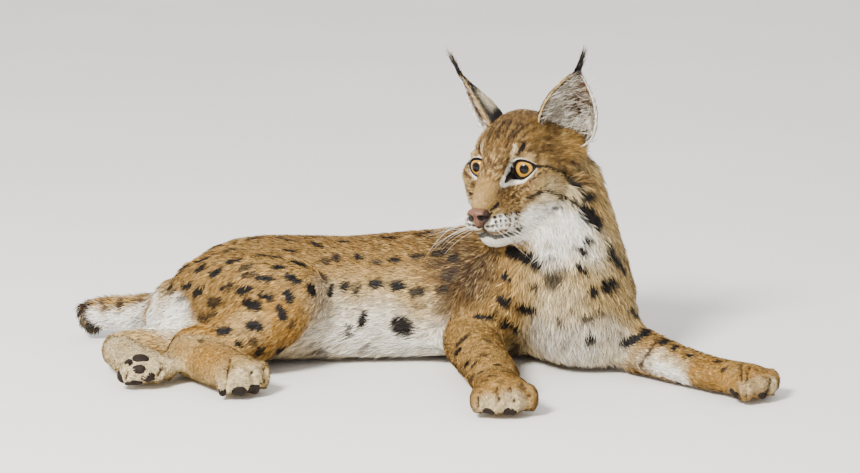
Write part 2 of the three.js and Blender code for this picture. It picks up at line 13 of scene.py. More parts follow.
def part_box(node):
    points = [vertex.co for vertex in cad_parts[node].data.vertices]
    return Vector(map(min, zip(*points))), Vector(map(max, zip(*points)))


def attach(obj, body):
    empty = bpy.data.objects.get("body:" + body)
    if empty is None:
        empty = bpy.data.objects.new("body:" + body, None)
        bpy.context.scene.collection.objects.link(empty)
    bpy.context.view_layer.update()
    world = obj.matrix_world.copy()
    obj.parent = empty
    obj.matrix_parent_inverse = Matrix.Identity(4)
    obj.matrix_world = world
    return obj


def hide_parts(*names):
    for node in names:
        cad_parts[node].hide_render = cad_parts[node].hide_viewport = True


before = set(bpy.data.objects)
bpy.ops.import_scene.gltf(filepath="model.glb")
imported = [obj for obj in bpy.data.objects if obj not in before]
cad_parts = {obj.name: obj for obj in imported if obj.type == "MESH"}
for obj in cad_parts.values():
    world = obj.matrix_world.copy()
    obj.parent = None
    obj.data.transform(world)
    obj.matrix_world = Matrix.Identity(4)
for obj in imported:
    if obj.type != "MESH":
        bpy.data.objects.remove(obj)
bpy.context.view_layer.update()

# The head's place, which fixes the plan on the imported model.
# It points along `forward`, with its left side a little raised, and its own axes are forward, left and up
# from the point midway between the pupils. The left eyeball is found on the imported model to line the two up.
MM = 0.001
HEAD_PLACE = np.array((77.0, -62.0, 229.0))
HEAD_YAW = radians(30)
HEAD_ROLL = radians(3.3)
forward = Vector((-sin(HEAD_YAW), -cos(HEAD_YAW), 0))
upright = Matrix.Rotation(HEAD_ROLL, 3, forward) @ Vector((0, 0, 1))
head_axes = np.array([forward, upright.cross(forward), upright])
EYE_RADIUS = 14.5
EYE_PLACE = np.array((-13.0, 27.5, -0.5))
PACKED_EYE = np.array((108.408, -66.277, 232.084))  # middle of the left eyeball on the plan


def from_head(points):
    return np.asarray(points, float) @ head_axes + HEAD_PLACE


def to_head(points):
    return (np.asarray(points, float) - HEAD_PLACE) @ head_axes.T


def one_sided(points):
    """Points in the head's axes, all brought to its left side."""
    points = np.array(points, float)
    points[:, 1] = np.abs(points[:, 1])
    return points


eye_low, eye_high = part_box("eye_left")
plan_shift = np.array((eye_low + eye_high) / 2) / MM - PACKED_EYE


def to_frame(points):
    return (np.asarray(points, float) + plan_shift) * MM


# The camera, at the photograph's place: 12 degrees up and 3.6 m off, with a long lens.
# A pixel of the photograph is followed from it back to the coat, to place each marking.
PHOTO_WIDE, PHOTO_HIGH = 860, 473
CAMERA_UP = radians(12)
CAMERA_AWAY = 3600
CAMERA_AIM = np.array((0.0, 0.0, 138.0))
FOCAL_PIXELS = 3168
sight = np.array((0, cos(CAMERA_UP), -sin(CAMERA_UP)))
sight_up = np.array((0, sin(CAMERA_UP), cos(CAMERA_UP)))
camera_place = CAMERA_AIM - CAMERA_AWAY * sight

camera = bpy.data.objects.new("camera", bpy.data.cameras.new("camera"))
camera.data.sensor_width = 36
camera.data.lens = FOCAL_PIXELS / PHOTO_WIDE * 36
camera.data.clip_end = 50
camera.location = to_frame(camera_place)
camera.rotation_euler = (pi / 2 - CAMERA_UP, 0, 0)
bpy.context.scene.collection.objects.link(camera)
bpy.context.scene.camera = camera


def ray_of(px, py):
    ray = np.array((1.0, 0, 0)) * (px - PHOTO_WIDE / 2) / FOCAL_PIXELS
    ray = ray + sight + sight_up * (PHOTO_HIGH / 2 - py) / FOCAL_PIXELS
    return ray / np.linalg.norm(ray)


# Skin of the whole animal: one closed surface under the coat, from nose to tail tip.
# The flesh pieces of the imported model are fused, smoothed and drawn in by the depth of the coat that grows
# on them. The face is then modelled with its own lids, brow, whisker pads, lips and chin.
SKIN_VOXEL = 4.2 * MM
BARREL_HALF_HIGH = 45
FACE_PLANES = (-36, -8)  # the skin ahead of each of these is made finer once, measured from the pupils
FACE_HALF_WIDE, FACE_LOW = 62, -100
PAW_MARGIN = 3 * MM
LOCK_SMOOTHING = 140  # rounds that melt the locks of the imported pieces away
FLESH = [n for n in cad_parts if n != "nose" and "_pad_" not in n and not n.startswith(("eye_", "ear_"))]
# rounds of the chest and neck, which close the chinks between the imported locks: middle, half-width, half-depth
BARREL = [
    (172, -40, 45, 72, 79), (165, -42, 60, 76, 85), (154, -31, 94, 79, 86), (148, -17, 122, 75, 78),
    (147, -15, 145, 76, 76), (142, -10, 172, 71, 66), (155, -8, 205, 52, 46),
]

fused = bmesh.new()
for name in FLESH + ["nose", "eye_left", "eye_right"]:
    fused.from_mesh(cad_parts[name].data)
bmesh.ops.remove_doubles(fused, verts=fused.verts, dist=1e-6)
for x, y, z, across, deep in BARREL:
    radii = Matrix.Diagonal((across * MM, deep * MM, BARREL_HALF_HIGH * MM, 1))
    swell = Matrix.Translation(to_frame((x, y, z))) @ radii
    bmesh.ops.create_icosphere(fused, subdivisions=4, radius=1, matrix=swell)


def new_piece(name, bm):
    """The object of a finished bmesh, shaded smooth."""
    made = bpy.data.objects.new(name, bpy.data.meshes.new(name))
    bm.to_mesh(made.data)
    bm.free()
    bpy.context.scene.collection.objects.link(made)
    made.data.shade_smooth()
    return made


skin = new_piece("skin", fused)
remesh = skin.modifiers.new("remesh", "REMESH")
remesh.mode = "VOXEL"
remesh.voxel_size = SKIN_VOXEL


def apply_modifiers(piece):
    bpy.context.view_layer.update()
    made = bpy.data.meshes.new_from_object(piece.evaluated_get(bpy.context.evaluated_depsgraph_get()))
    piece.modifiers.clear()
    piece.data = made


apply_modifiers(skin)


def keep_largest(bm):
    """Keeps the largest connected surface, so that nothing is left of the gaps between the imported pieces."""
    left = set(bm.verts)
    largest = []
    while left:
        island = [left.pop()]
        for vert in island:
            for edge in vert.link_edges:
                other = edge.other_vert(vert)
                if other in left:
                    left.remove(other)
                    island.append(other)
        if len(island) > len(largest):
            largest = island
    keep = set(largest)
    bmesh.ops.delete(bm, geom=[v for v in bm.verts if v not in keep], context="VERTS")


def face_nearby(bm, reach):
    """Faces of the skin in front of a plane across the head, `reach` ahead of the pupils."""
    centres = to_head(np.array([f.calc_center_median() for f in bm.faces]) / MM - plan_shift)
    inside = (centres[:, 0] > reach) & (np.abs(centres[:, 1]) < FACE_HALF_WIDE) & (centres[:, 2] > FACE_LOW)
    return [f for f, near in zip(bm.faces, inside) if near]


def make_finer(bm, faces):
    edges = list({e for f in faces for e in f.edges})
    bmesh.ops.subdivide_edges(bm, edges=edges, cuts=1, use_grid_fill=True)


sculpt = bmesh.new()
sculpt.from_mesh(skin.data)
keep_largest(sculpt)
for reach in FACE_PLANES:
    make_finer(sculpt, face_nearby(sculpt, reach))
centres = np.array([f.calc_center_median() for f in sculpt.faces])
in_paw = np.zeros(len(centres), bool)
for name in FLESH:
    if name.endswith("_paw"):
        low, high = (np.array(corner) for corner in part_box(name))
        in_paw |= np.all((centres > low - PAW_MARGIN) & (centres < high + PAW_MARGIN), axis=1)
make_finer(sculpt, [f for f, inside in zip(sculpt.faces, in_paw) if inside])
bmesh.ops.triangulate(sculpt, faces=sculpt.faces)
sculpt.to_mesh(skin.data)
sculpt.free()


def read(data, attribute, width, kind=np.float32):
    values = np.zeros(len(data) * width, kind)
    data.foreach_get(attribute, values)
    return values.reshape(-1, width).squeeze()


skin_points = read(skin.data.vertices, "co", 3).astype(float) / MM - plan_shift
skin_edges = read(skin.data.edges, "vertices", 2, np.int32)
skin_faces = read(skin.data.polygons, "vertices", 3, np.int32)


def relax(values, rounds, share=0.5):
    """Moves each vertex's values towards the mean of its neighbours'."""
    values = np.asarray(values, float)
    flat = values.reshape(len(values), -1)
    a, b = skin_edges.T
    count = np.bincount(np.r_[a, b], minlength=len(flat))[:, None]
    for _ in range(rounds):
        sums = np.stack([np.bincount(np.r_[a, b], np.r_[c[b], c[a]], len(flat)) for c in flat.T], -1)
        flat = flat + share * (sums / count - flat)
    return flat.reshape(values.shape)


def vertex_normals(points, faces):
    a, b, c = (points[faces[:, i]] for i in range(3))
    flat = np.cross(b - a, c - a)
    normals = np.stack(
        [np.bincount(faces.ravel(), np.repeat(flat[:, axis], 3), len(points)) for axis in range(3)], -1
    )
    return normals / np.maximum(np.linalg.norm(normals, axis=1, keepdims=True), 1e-12)


skin_points = relax(skin_points, 4)

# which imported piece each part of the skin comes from
regions = sorted(FLESH)
tree_points, tree_faces, tree_region = [], [], []
for region in regions:
    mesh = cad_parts[region].data
    start = len(tree_points)
    tree_points += [tuple(v.co) for v in mesh.vertices]
    tree_faces += [[start + i for i in p.vertices] for p in mesh.polygons]
    tree_region += [regions.index(region)] * len(mesh.polygons)
tree = BVHTree.FromPolygons(tree_points, tree_faces)
nearest = [tree_region[tree.find_nearest(p)[2]] for p in to_frame(skin_points)]
share_of = relax(np.eye(len(regions))[nearest], 8)
share_of = dict(zip(regions, share_of.T))


def smooth_step(low, high, value):
    t = np.clip((value - low) / (high - low), 0, 1)
    return t * t * (3 - 2 * t)


# smooth forms of the head: a value below zero is inside
def ball(p, centre, radii):
    q = p - np.array(centre)
    radii = np.array(radii)
    k0 = np.linalg.norm(q / radii, axis=1)
    k1 = np.linalg.norm(q / radii**2, axis=1)
    return k0 * (k0 - 1) / np.maximum(k1, 1e-9)


def rod(p, start, end, start_radius, end_radius):
    start, end = np.array(start, float), np.array(end, float)
    along = np.clip((p - start) @ (end - start) / ((end - start) @ (end - start)), 0, 1)
    middle = start + along[:, None] * (end - start)
    return np.linalg.norm(p - middle, axis=1) - (start_radius + (end_radius - start_radius) * along)


def blend(a, b, soft):
    near = np.clip(soft - np.abs(a - b), 0, None) / soft
    return np.minimum(a, b) - near * near * soft / 4


def carve(a, b, soft):
    return -blend(-a, b, soft)


def head_form(points):
    p = one_sided(points)
    d = ball(p, (-57, 0, 5), (53, 48, 53))  # braincase
    d = blend(d, ball(p, (-22, 0, 12), (32, 36, 30)), 18)  # forehead
    d = blend(d, ball(p, (-36, 36, -28), (35, 22, 34)), 20)  # cheek
    d = blend(d, ball(p, (-17, 36, -9), (23, 18, 15)), 12)  # cheekbone
    d = blend(d, ball(p, (-83, 46, 3), (25, 27, 30)), 22)  # root of the ear
    d = blend(d, rod(p, (5, 0, 1), (44, 0, -33), 21.5, 13), 12)  # bridge of the nose
    d = blend(d, rod(p, (-30, 0, -42), (21, 0, -50), 36, 22), 18)  # muzzle
    d = blend(d, ball(p, (30, 12.5, -55), (20, 16, 14.5)), 9)  # whisker pad
    d = blend(d, rod(p, (18, 4, -72), (-34, 26, -60), 14, 20), 12)  # lower jaw
    d = blend(d, ball(p, (9, 0, -74.5), (19, 14, 13)), 7)  # chin
    d = carve(d, ball(p, EYE_PLACE + (13, -1, 0), (14, 16, 10)), 12)  # eye hollow
    d = blend(d, ball(p, EYE_PLACE, np.full(3, EYE_RADIUS + 2)), 6)  # lids
    return blend(d, ball(p, EYE_PLACE + (3, -1, 13), (10, 15, 5)), 8)  # brow


FACE_INSET = 1.8


def meet(pixels):
    """Where the rays of pixels meet the face, in the head's axes."""
    start = to_head(camera_place)
    rays = np.array([ray_of(*p) for p in pixels]) @ head_axes.T
    away = np.full(len(rays), np.linalg.norm(start) - 130)
    for _ in range(90):
        away += 0.7 * (head_form(start + rays * away[:, None]) + FACE_INSET)
    return start + rays * away[:, None]


def normalized(vectors):
    return vectors / np.maximum(np.linalg.norm(vectors, axis=-1, keepdims=True), 1e-9)


def line_distance(points, line):
    """Distance from each point to a line of straight runs."""
    best = np.full(len(points), 1e9)
    for start, end in zip(line[:-1], line[1:]):
        along = np.clip((points - start) @ (end - start) / max((end - start) @ (end - start), 1e-9), 0, 1)
        best = np.minimum(best, np.linalg.norm(points - start - along[:, None] * (end - start), axis=1))
    return best


# the opening between the lids of the left eye: its edge in pixels of the photograph, from the corner by the nose
# along the lower lid and back along the upper one
LID_PIXELS = [
    (505.2, 182.3), (508.6, 180.3), (511.6, 179.3), (515, 178.9), (518.6, 179.1), (522, 179), (525.6, 177.2),
    (529.2, 174.4), (532.6, 171.2), (536.2, 166.3), (532.8, 164.3), (529, 162.4), (525, 160.9), (521, 160.2),
    (517.6, 160.7), (514.8, 162.3), (512.4, 165.3), (510.4, 169.2), (508.2, 174.2), (506.4, 178.6),
]
LID_SIDES = 72
EYE_TURN = radians(30)  # of each eye's own axis, out from straight ahead
SOCKET_FLOOR = 3  # ahead of the middle of the eyeball


def along_eye(points):
    """Places seen along the eye's own axis: outwards and up, and how far ahead they are."""
    left = np.abs(points[:, 1])
    flat = np.stack([left * cos(EYE_TURN) - points[:, 0] * sin(EYE_TURN), points[:, 2]], -1)
    return flat, points[:, 0] * cos(EYE_TURN) + left * sin(EYE_TURN)


def off_eye_axis(flat, ahead):
    """The points, in the head's axes, at places seen along the left eye's own axis and so far ahead."""
    return np.stack([
        ahead * cos(EYE_TURN) - flat[:, 0] * sin(EYE_TURN), ahead * sin(EYE_TURN) + flat[:, 0] * cos(EYE_TURN),
        flat[:, 1],
    ], -1)


lid_edge = along_eye(meet(LID_PIXELS))[0]
lid_edge = np.vstack([lid_edge, lid_edge[:1]])
lid_run = np.r_[0, np.cumsum(np.linalg.norm(np.diff(lid_edge, axis=0), axis=1))]
lid_line = np.stack([np.interp(np.arange(LID_SIDES) / LID_SIDES * lid_run[-1], lid_run, c) for c in lid_edge.T], -1)
lid_middle = lid_line.mean(0)
eye_flat, eye_ahead = along_eye(EYE_PLACE[None])


def lid_distance(points):
    """How far outside the opening of the lids a point is, in mm, seen along the eye's axis."""
    flat, _ = along_eye(points)
    away = np.full(len(points), 60.0)
    near = np.flatnonzero((np.linalg.norm(flat - lid_middle, axis=1) < 34) & (points[:, 0] > -32))
    flat = flat[near]
    loop = np.vstack([lid_line, lid_line[:1]])
    inside = np.zeros(len(near), bool)
    for (x0, y0), (x1, y1) in zip(loop[:-1], loop[1:]):
        crosses = (y0 > flat[:, 1]) != (y1 > flat[:, 1])
        inside ^= crosses & (flat[:, 0] < x0 + (flat[:, 1] - y0) / (y1 - y0 or 1) * (x1 - x0))
    away[near] = line_distance(flat, loop) * np.where(inside, -1, 1)
    return away


def face_target(points):
    """The face under its fur, with a socket behind each opening of the lids."""
    d = head_form(points) + FACE_INSET
    _, ahead = along_eye(points)
    socket = np.maximum(lid_distance(points) + 0.7, eye_ahead + SOCKET_FLOOR - ahead)
    return carve(d, socket, 1.2)


def settle(points, target, share, rounds=4, step=0.25):
    """Moves points along the slope of a form onto its surface."""
    for _ in range(rounds):
        value = target(points)
        slope = np.stack(
            [(target(points + step * axis) - target(points - step * axis)) / (2 * step) for axis in np.eye(3)], -1
        )
        slope /= np.maximum(np.linalg.norm(slope, axis=1, keepdims=True), 0.3) ** 2
        points = points - slope * np.clip(value * share, -3, 3)[:, None]
    return points


# how far the skin lies under the outline of the coat, piece by piece
COAT_DEPTH = {"torso": 5.5, "chest": 8, "neck": 7, "head": 2, "tail": 0.5, "tail_tip": 0.5}
LEG_DEPTH = {"upper": 5, "lower": 3.5, "paw": 2.6}
matted = np.clip(share_of["neck"] + share_of["chest"], 0, 1)
matted = np.maximum(matted, share_of["torso"] * smooth_step(48, 30, skin_points[:, 2]))
shoulders = share_of["fore_left_upper"] + share_of["fore_right_upper"]
matted = np.maximum(matted, shoulders * smooth_step(70, 100, skin_points[:, 2]))
matted = np.maximum(matted, share_of["head"] * smooth_step(3, 7, head_form(to_head(skin_points))))
matted = relax(matted, 8)[:, None]
skin_points += matted * (relax(skin_points, LOCK_SMOOTHING) - skin_points)
coat_depth = sum(
    share_of[r] * (COAT_DEPTH[r] if r in COAT_DEPTH else LEG_DEPTH[r.rsplit("_", 1)[1]]) for r in regions
)
skin_points = skin_points - vertex_normals(skin_points, skin_faces) * (coat_depth * (1 - share_of["head"]))[:, None]

# the tail grows out of the rump without an edge
tail_root = relax(share_of["tail"], 30)
tail_root = relax(np.clip(5 * tail_root * (1 - tail_root) - 0.15, 0, 1), 6)[:, None]
skin_points += tail_root * (relax(skin_points, 60) - skin_points)

in_head = to_head(skin_points)
form = np.abs(head_form(in_head))
crown = smooth_step(-5, 20, in_head[:, 2])
head_near = np.flatnonzero((in_head[:, 0] > -118) & (form < 22) & (share_of["head"] > 0.02))
close = 1 - smooth_step(6 + 8 * crown[head_near], 12 + 9 * crown[head_near], form[head_near])
close *= smooth_step(0.02, 0.5, share_of["head"][head_near])
in_head[head_near] = settle(in_head[head_near], face_target, close, rounds=5)
skin_points = from_head(in_head)
# the jaw runs on into the throat without an edge
seam = share_of["head"] + smooth_step(-5, -50, in_head[:, 0]) * 0.2
seam = smooth_step(0.03, 0.3, share_of["head"]) * smooth_step(1.15, 0.75, seam) * smooth_step(30, 0, in_head[:, 2])
skin_points += relax(seam, 4)[:, None] * (relax(skin_points, 28) - skin_points)
in_head = to_head(skin_points)


def cast(px, py):
    """The point of the skin that a pixel of the photograph falls on, if it falls on it."""
    hit = skin_tree.ray_cast(Vector(camera_place), Vector(ray_of(px, py)))[0]
    return None if hit is None else np.array(hit)


def tree_of(points, faces):
    return BVHTree.FromPolygons([tuple(v) for v in points], [tuple(f) for f in faces])


# grooves between the toes, in pixels of the photograph, with their depth in mm
TOE_GROOVES = [
    ([(478, 396), (478.5, 406), (480, 419)], 2.2), ([(497, 388), (499.5, 400), (500.5, 419)], 3.6),
    ([(510, 388), (514.5, 402), (518.7, 418)], 3.6), ([(522, 384), (530, 396), (533, 415)], 3),
    ([(742, 365), (741, 380), (737, 396)], 3), ([(749, 368), (746, 382), (746, 397)], 2.4),
    ([(768, 363), (770.8, 380), (765, 394)], 3.2), ([(230, 360), (227, 375), (224, 394)], 3.8),
    ([(251.5, 356), (252, 372), (251, 390)], 3.8), ([(262, 357), (264, 368), (263.5, 382)], 3),
    ([(127, 372), (126, 379), (124, 388)], 2.5), ([(148, 377), (143, 383), (141, 391)], 2.5),
    ([(162, 368), (158, 376), (157, 386)], 2.5),
]
GROOVE_WIDE, GROOVE_DEEPER = 2.8, 1.7
skin_tree = tree_of(skin_points, skin_faces)
on_paw = sum(share_of[r] for r in regions if r.endswith("_paw"))
skin_points += smooth_step(0.2, 0.8, on_paw)[:, None] * (relax(skin_points, 10) - skin_points)
normals = relax(vertex_normals(skin_points, skin_faces), 6)
for pixels, depth in TOE_GROOVES:
    line = np.array([hit for hit in (cast(*p) for p in pixels) if hit is not None])
    near = np.flatnonzero((np.linalg.norm(skin_points - line.mean(0), axis=1) < 40) & (on_paw > 0.3))
    cut = GROOVE_DEEPER * depth * np.exp(-((line_distance(skin_points[near], line) / GROOVE_WIDE) ** 2))
    skin_points[near] -= normals[near] * cut[:, None]

# lips: a fold along the mouth, with the groove from the nose above its middle, each with its depth and width
LIP_FOLD, PHILTRUM_FOLD = (2.2, 1.6), (1.6, 1.5)
MOUTH_PIXELS = [
    (482.7, 229.8), (486, 231.8), (490, 234), (495, 235.8), (501, 235.2), (508, 233.8), (515, 231), (520.5, 227),
]
mouth = meet(MOUTH_PIXELS)
philtrum = np.array([(50, 0, -54), mouth[0] * (1, 0, 1)])
front = np.flatnonzero(in_head[:, 0] > 0)
face_side = one_sided(in_head[front])
fold = np.max([
    depth * np.exp(-((line_distance(face_side, line) / breadth) ** 2))
    for line, (depth, breadth) in ((mouth, LIP_FOLD), (philtrum, PHILTRUM_FOLD))
], 0)
normals = vertex_normals(skin_points, skin_faces)
skin_points[front] -= normals[front] * fold[:, None]

skin.data.vertices.foreach_set("co", to_frame(skin_points).astype(np.float32).ravel())
skin.data.update()
skin.data.shade_smooth()
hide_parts(*FLESH)
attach(skin, "root")


def unwrap(piece, margin):
    """Unwraps a piece into its map OFBake, and returns the map's place of each corner of each face."""
    for other in bpy.context.selected_objects:
        other.select_set(False)
    piece.select_set(True)
    bpy.context.view_layer.objects.active = piece
    piece.data.uv_layers.new(name="OFBake")
    bpy.ops.object.mode_set(mode="EDIT")
    bpy.ops.mesh.select_all(action="SELECT")
    bpy.ops.uv.smart_project(angle_limit=radians(66), island_margin=margin)
    bpy.ops.object.mode_set(mode="OBJECT")
    return read(piece.data.uv_layers["OFBake"].data, "uv", 2).reshape(-1, 3, 2)


# each tuft of the coat takes its place on the map from the skin's
skin_uv = unwrap(skin, 0.002)
skin_normals = vertex_normals(skin_points, skin_faces)
skin_tree = tree_of(skin_points, skin_faces)

# Markings of the coat, shared by the skin and the hair that grows on it.
# Ground colours follow the parts of the body, with soft patches over them, and then the dark spots and lines,
# each laid where the photograph shows it. The side that it doesn't show gets a seeded scatter of spots.
# Some of the patches and lines are painted shade: behind the near shoulder, along the bottom of the chest,
# beside the nose, in the creases of the forelegs and between the toes.
def srgb(red, green, blue):
    c = np.array((red, green, blue)) / 255
    return np.where(c <= 0.04045, c / 12.92, ((c + 0.055) / 1.055) ** 2.4)


BROWN = srgb(112, 81, 35)
TAN = srgb(150, 115, 58)
RUST = srgb(150, 108, 40)
SAND = srgb(180, 152, 100)
CREAM = srgb(212, 192, 152)
GREY_CREAM = srgb(184, 170, 144)
WHITE = srgb(245, 239, 226)
GRIZZLE = srgb(116, 87, 46)
BLACK = srgb(14, 9, 7)
UMBER = srgb(50, 31, 15)

GROUND = {
    "torso": TAN, "chest": SAND, "neck": SAND, "head": GRIZZLE, "tail": WHITE, "tail_tip": BLACK,
    "fore_right_upper": TAN, "fore_right_lower": TAN, "fore_right_paw": TAN,
    "fore_left_upper": SAND, "fore_left_lower": TAN, "fore_left_paw": TAN,
    "hind_right_upper": TAN, "hind_right_lower": RUST, "hind_right_paw": SAND,
    "hind_left_upper": RUST, "hind_left_lower": SAND, "hind_left_paw": CREAM,
}

# soft patches: pixel of the middle, reach in mm, colour and strength. The brown and umber patches behind the near
# shoulder and upper foreleg, at pixels 445 to 490 across and 240 to 310 down, are painted shade; the umber patches
# along the bottom of the chest, on pixel row 373, are dark hair with painted shade.
BODY_PATCHES = [
    (200, 262, 60, BROWN, 0.35), (300, 240, 60, BROWN, 0.45), (400, 238, 60, BROWN, 0.5), (455, 240, 45, BROWN, 0.75),
    (465, 275, 32, BROWN, 0.75), (455, 310, 22, BROWN, 0.45), (350, 300, 30, SAND, 0.9), (400, 300, 30, SAND, 0.8),
    (375, 335, 42, WHITE, 0.75), (420, 350, 36, WHITE, 0.75), (330, 335, 38, WHITE, 0.6),
    (300, 350, 22, GREY_CREAM, 0.8), (440, 340, 24, WHITE, 0.6), (435, 362, 12, GREY_CREAM, 0.8),
    (325, 300, 26, GREY_CREAM, 0.7), (170, 322, 28, WHITE, 1.0), (182, 306, 14, WHITE, 0.9),
    (145, 330, 18, WHITE, 1.0), (152, 318, 16, WHITE, 1.0), (156, 300, 10, WHITE, 0.7), (245, 325, 26, SAND, 0.6),
    (222, 352, 24, RUST, 0.7), (200, 352, 22, RUST, 0.7), (180, 350, 14, RUST, 0.6), (210, 362, 20, RUST, 0.7),
    (195, 358, 16, RUST, 0.6), (242, 382, 16, CREAM, 0.95), (258, 375, 16, CREAM, 0.95), (222, 388, 12, CREAM, 0.9),
    (262, 392, 12, CREAM, 0.9), (112, 350, 14, CREAM, 0.5), (105, 362, 14, RUST, 0.35), (125, 345, 12, RUST, 0.3),
    (150, 345, 16, RUST, 0.5), (155, 372, 16, CREAM, 0.9), (125, 368, 14, CREAM, 0.9), (130, 386, 14, CREAM, 0.8),
    (166, 378, 10, SAND, 0.8), (98, 302, 10, TAN, 1), (110, 303, 10, TAN, 1), (122, 303, 10, TAN, 1),
    (134, 301, 10, TAN, 1), (145, 298, 10, TAN, 1), (104, 309, 7, TAN, 0.8), (120, 308, 7, TAN, 0.5),
    (152, 293, 10, TAN, 1), (158, 288, 10, TAN, 1), (83, 304, 12, BLACK, 1), (88, 300, 11, BLACK, 1),
    (94, 299, 9, BLACK, 0.9), (84, 312, 8, UMBER, 0.9), (88, 326, 11, BLACK, 1), (95, 327, 11, BLACK, 1),
    (103, 328, 10, BLACK, 1), (92, 331, 11, BLACK, 1), (455, 248, 32, UMBER, 0.6), (474, 266, 30, UMBER, 0.65),
    (450, 275, 28, UMBER, 0.55), (462, 295, 24, UMBER, 0.55), (487, 262, 18, UMBER, 0.4), (447, 305, 18, UMBER, 0.35),
    (555, 345, 42, GREY_CREAM, 0.9), (600, 350, 36, GREY_CREAM, 0.8), (560, 345, 36, WHITE, 0.45),
    (600, 345, 30, WHITE, 0.3), (560, 300, 26, CREAM, 0.8), (590, 245, 34, CREAM, 0.9), (560, 250, 26, WHITE, 0.8),
    (570, 225, 26, WHITE, 0.95), (548, 240, 24, WHITE, 0.95), (588, 250, 18, WHITE, 0.6), (598, 215, 14, TAN, 0.5),
    (575, 200, 14, CREAM, 0.8), (592, 190, 18, TAN, 0.6), (545, 372, 26, WHITE, 0.5), (610, 370, 26, GREY_CREAM, 0.6),
    (625, 290, 34, SAND, 0.6), (628, 235, 20, TAN, 0.9), (612, 205, 20, TAN, 0.9), (500, 290, 26, TAN, 0.7),
    (480, 330, 22, TAN, 0.8), (500, 378, 24, RUST, 0.45), (475, 350, 22, TAN, 0.6), (512, 408, 18, CREAM, 0.9),
    (488, 408, 14, CREAM, 0.9), (480, 255, 24, BROWN, 0.5), (490, 275, 20, BROWN, 0.5), (655, 366, 13, WHITE, 1),
    (668, 372, 13, WHITE, 1), (680, 378, 12, WHITE, 1), (660, 354, 9, CREAM, 0.9), (672, 361, 8, CREAM, 0.8),
    (684, 366, 8, CREAM, 0.6), (644, 362, 14, GREY_CREAM, 0.8), (702, 366, 19, RUST, 0.9), (718, 376, 16, RUST, 0.9),
    (690, 355, 12, TAN, 0.9), (733, 380, 10, RUST, 0.6), (752, 372, 12, RUST, 0.6), (762, 384, 12, CREAM, 0.4),
    (774, 386, 10, CREAM, 0.8), (745, 388, 9, CREAM, 0.4), (590, 373, 10, UMBER, 0.4), (612, 373, 9, UMBER, 0.4),
    (570, 373, 8, UMBER, 0.3), (468, 262, 24, UMBER, 0.5), (482, 276, 26, UMBER, 0.6), (474, 292, 18, UMBER, 0.4),
]
FACE_PATCHES = [
    (478, 200, 12, SAND, 0.5), (475, 190, 10, SAND, 0.4), (490, 200, 12, TAN, 0.5), (484, 185, 12, TAN, 0.5),
    (520, 125, 26, BROWN, 0.6), (498, 140, 18, BROWN, 0.5), (515, 118, 16, UMBER, 0.3), (540, 140, 20, TAN, 0.4),
    # the umber patch at pixel (500, 190) and the brown one at (502, 202), beside the nose under the eye's inner corner,
    # are painted shade
    (550, 165, 16, TAN, 0.6), (570, 150, 20, TAN, 0.5), (592, 175, 18, TAN, 0.6), (500, 190, 9, UMBER, 0.3),
    (502, 202, 9, BROWN, 0.5), (560, 184, 12, SAND, 0.8), (552, 190, 8, SAND, 0.6), (528, 206, 9, SAND, 0.5),
    (548, 203, 9, WHITE, 0.8), (560, 214, 22, WHITE, 0.95), (538, 216, 16, WHITE, 0.95), (550, 235, 26, WHITE, 0.95),
    (528, 222, 12, WHITE, 0.95), (513, 221, 9, WHITE, 0.95), (503, 222, 9, WHITE, 0.95), (494, 226, 8, WHITE, 0.95),
    (487, 228, 5, WHITE, 0.9), (489, 240, 12, WHITE, 1.0), (500, 242, 14, WHITE, 1.0), (512, 240, 14, WHITE, 1.0),
    (522, 236, 14, WHITE, 1.0), (583, 145, 12, TAN, 0.5), (556, 189, 15, SAND, 0.95), (547, 182, 11, SAND, 0.8),
    (566, 192, 14, SAND, 0.9), (544, 199, 9, CREAM, 0.7), (538, 188, 9, SAND, 0.6), (575, 196, 12, CREAM, 0.7),
    (560, 178, 9, SAND, 0.6), (552, 190, 14, CREAM, 0.5), (566, 193, 10, CREAM, 0.5), (530, 158, 7, SAND, 0.6),
    (545, 163, 7, SAND, 0.5),
]

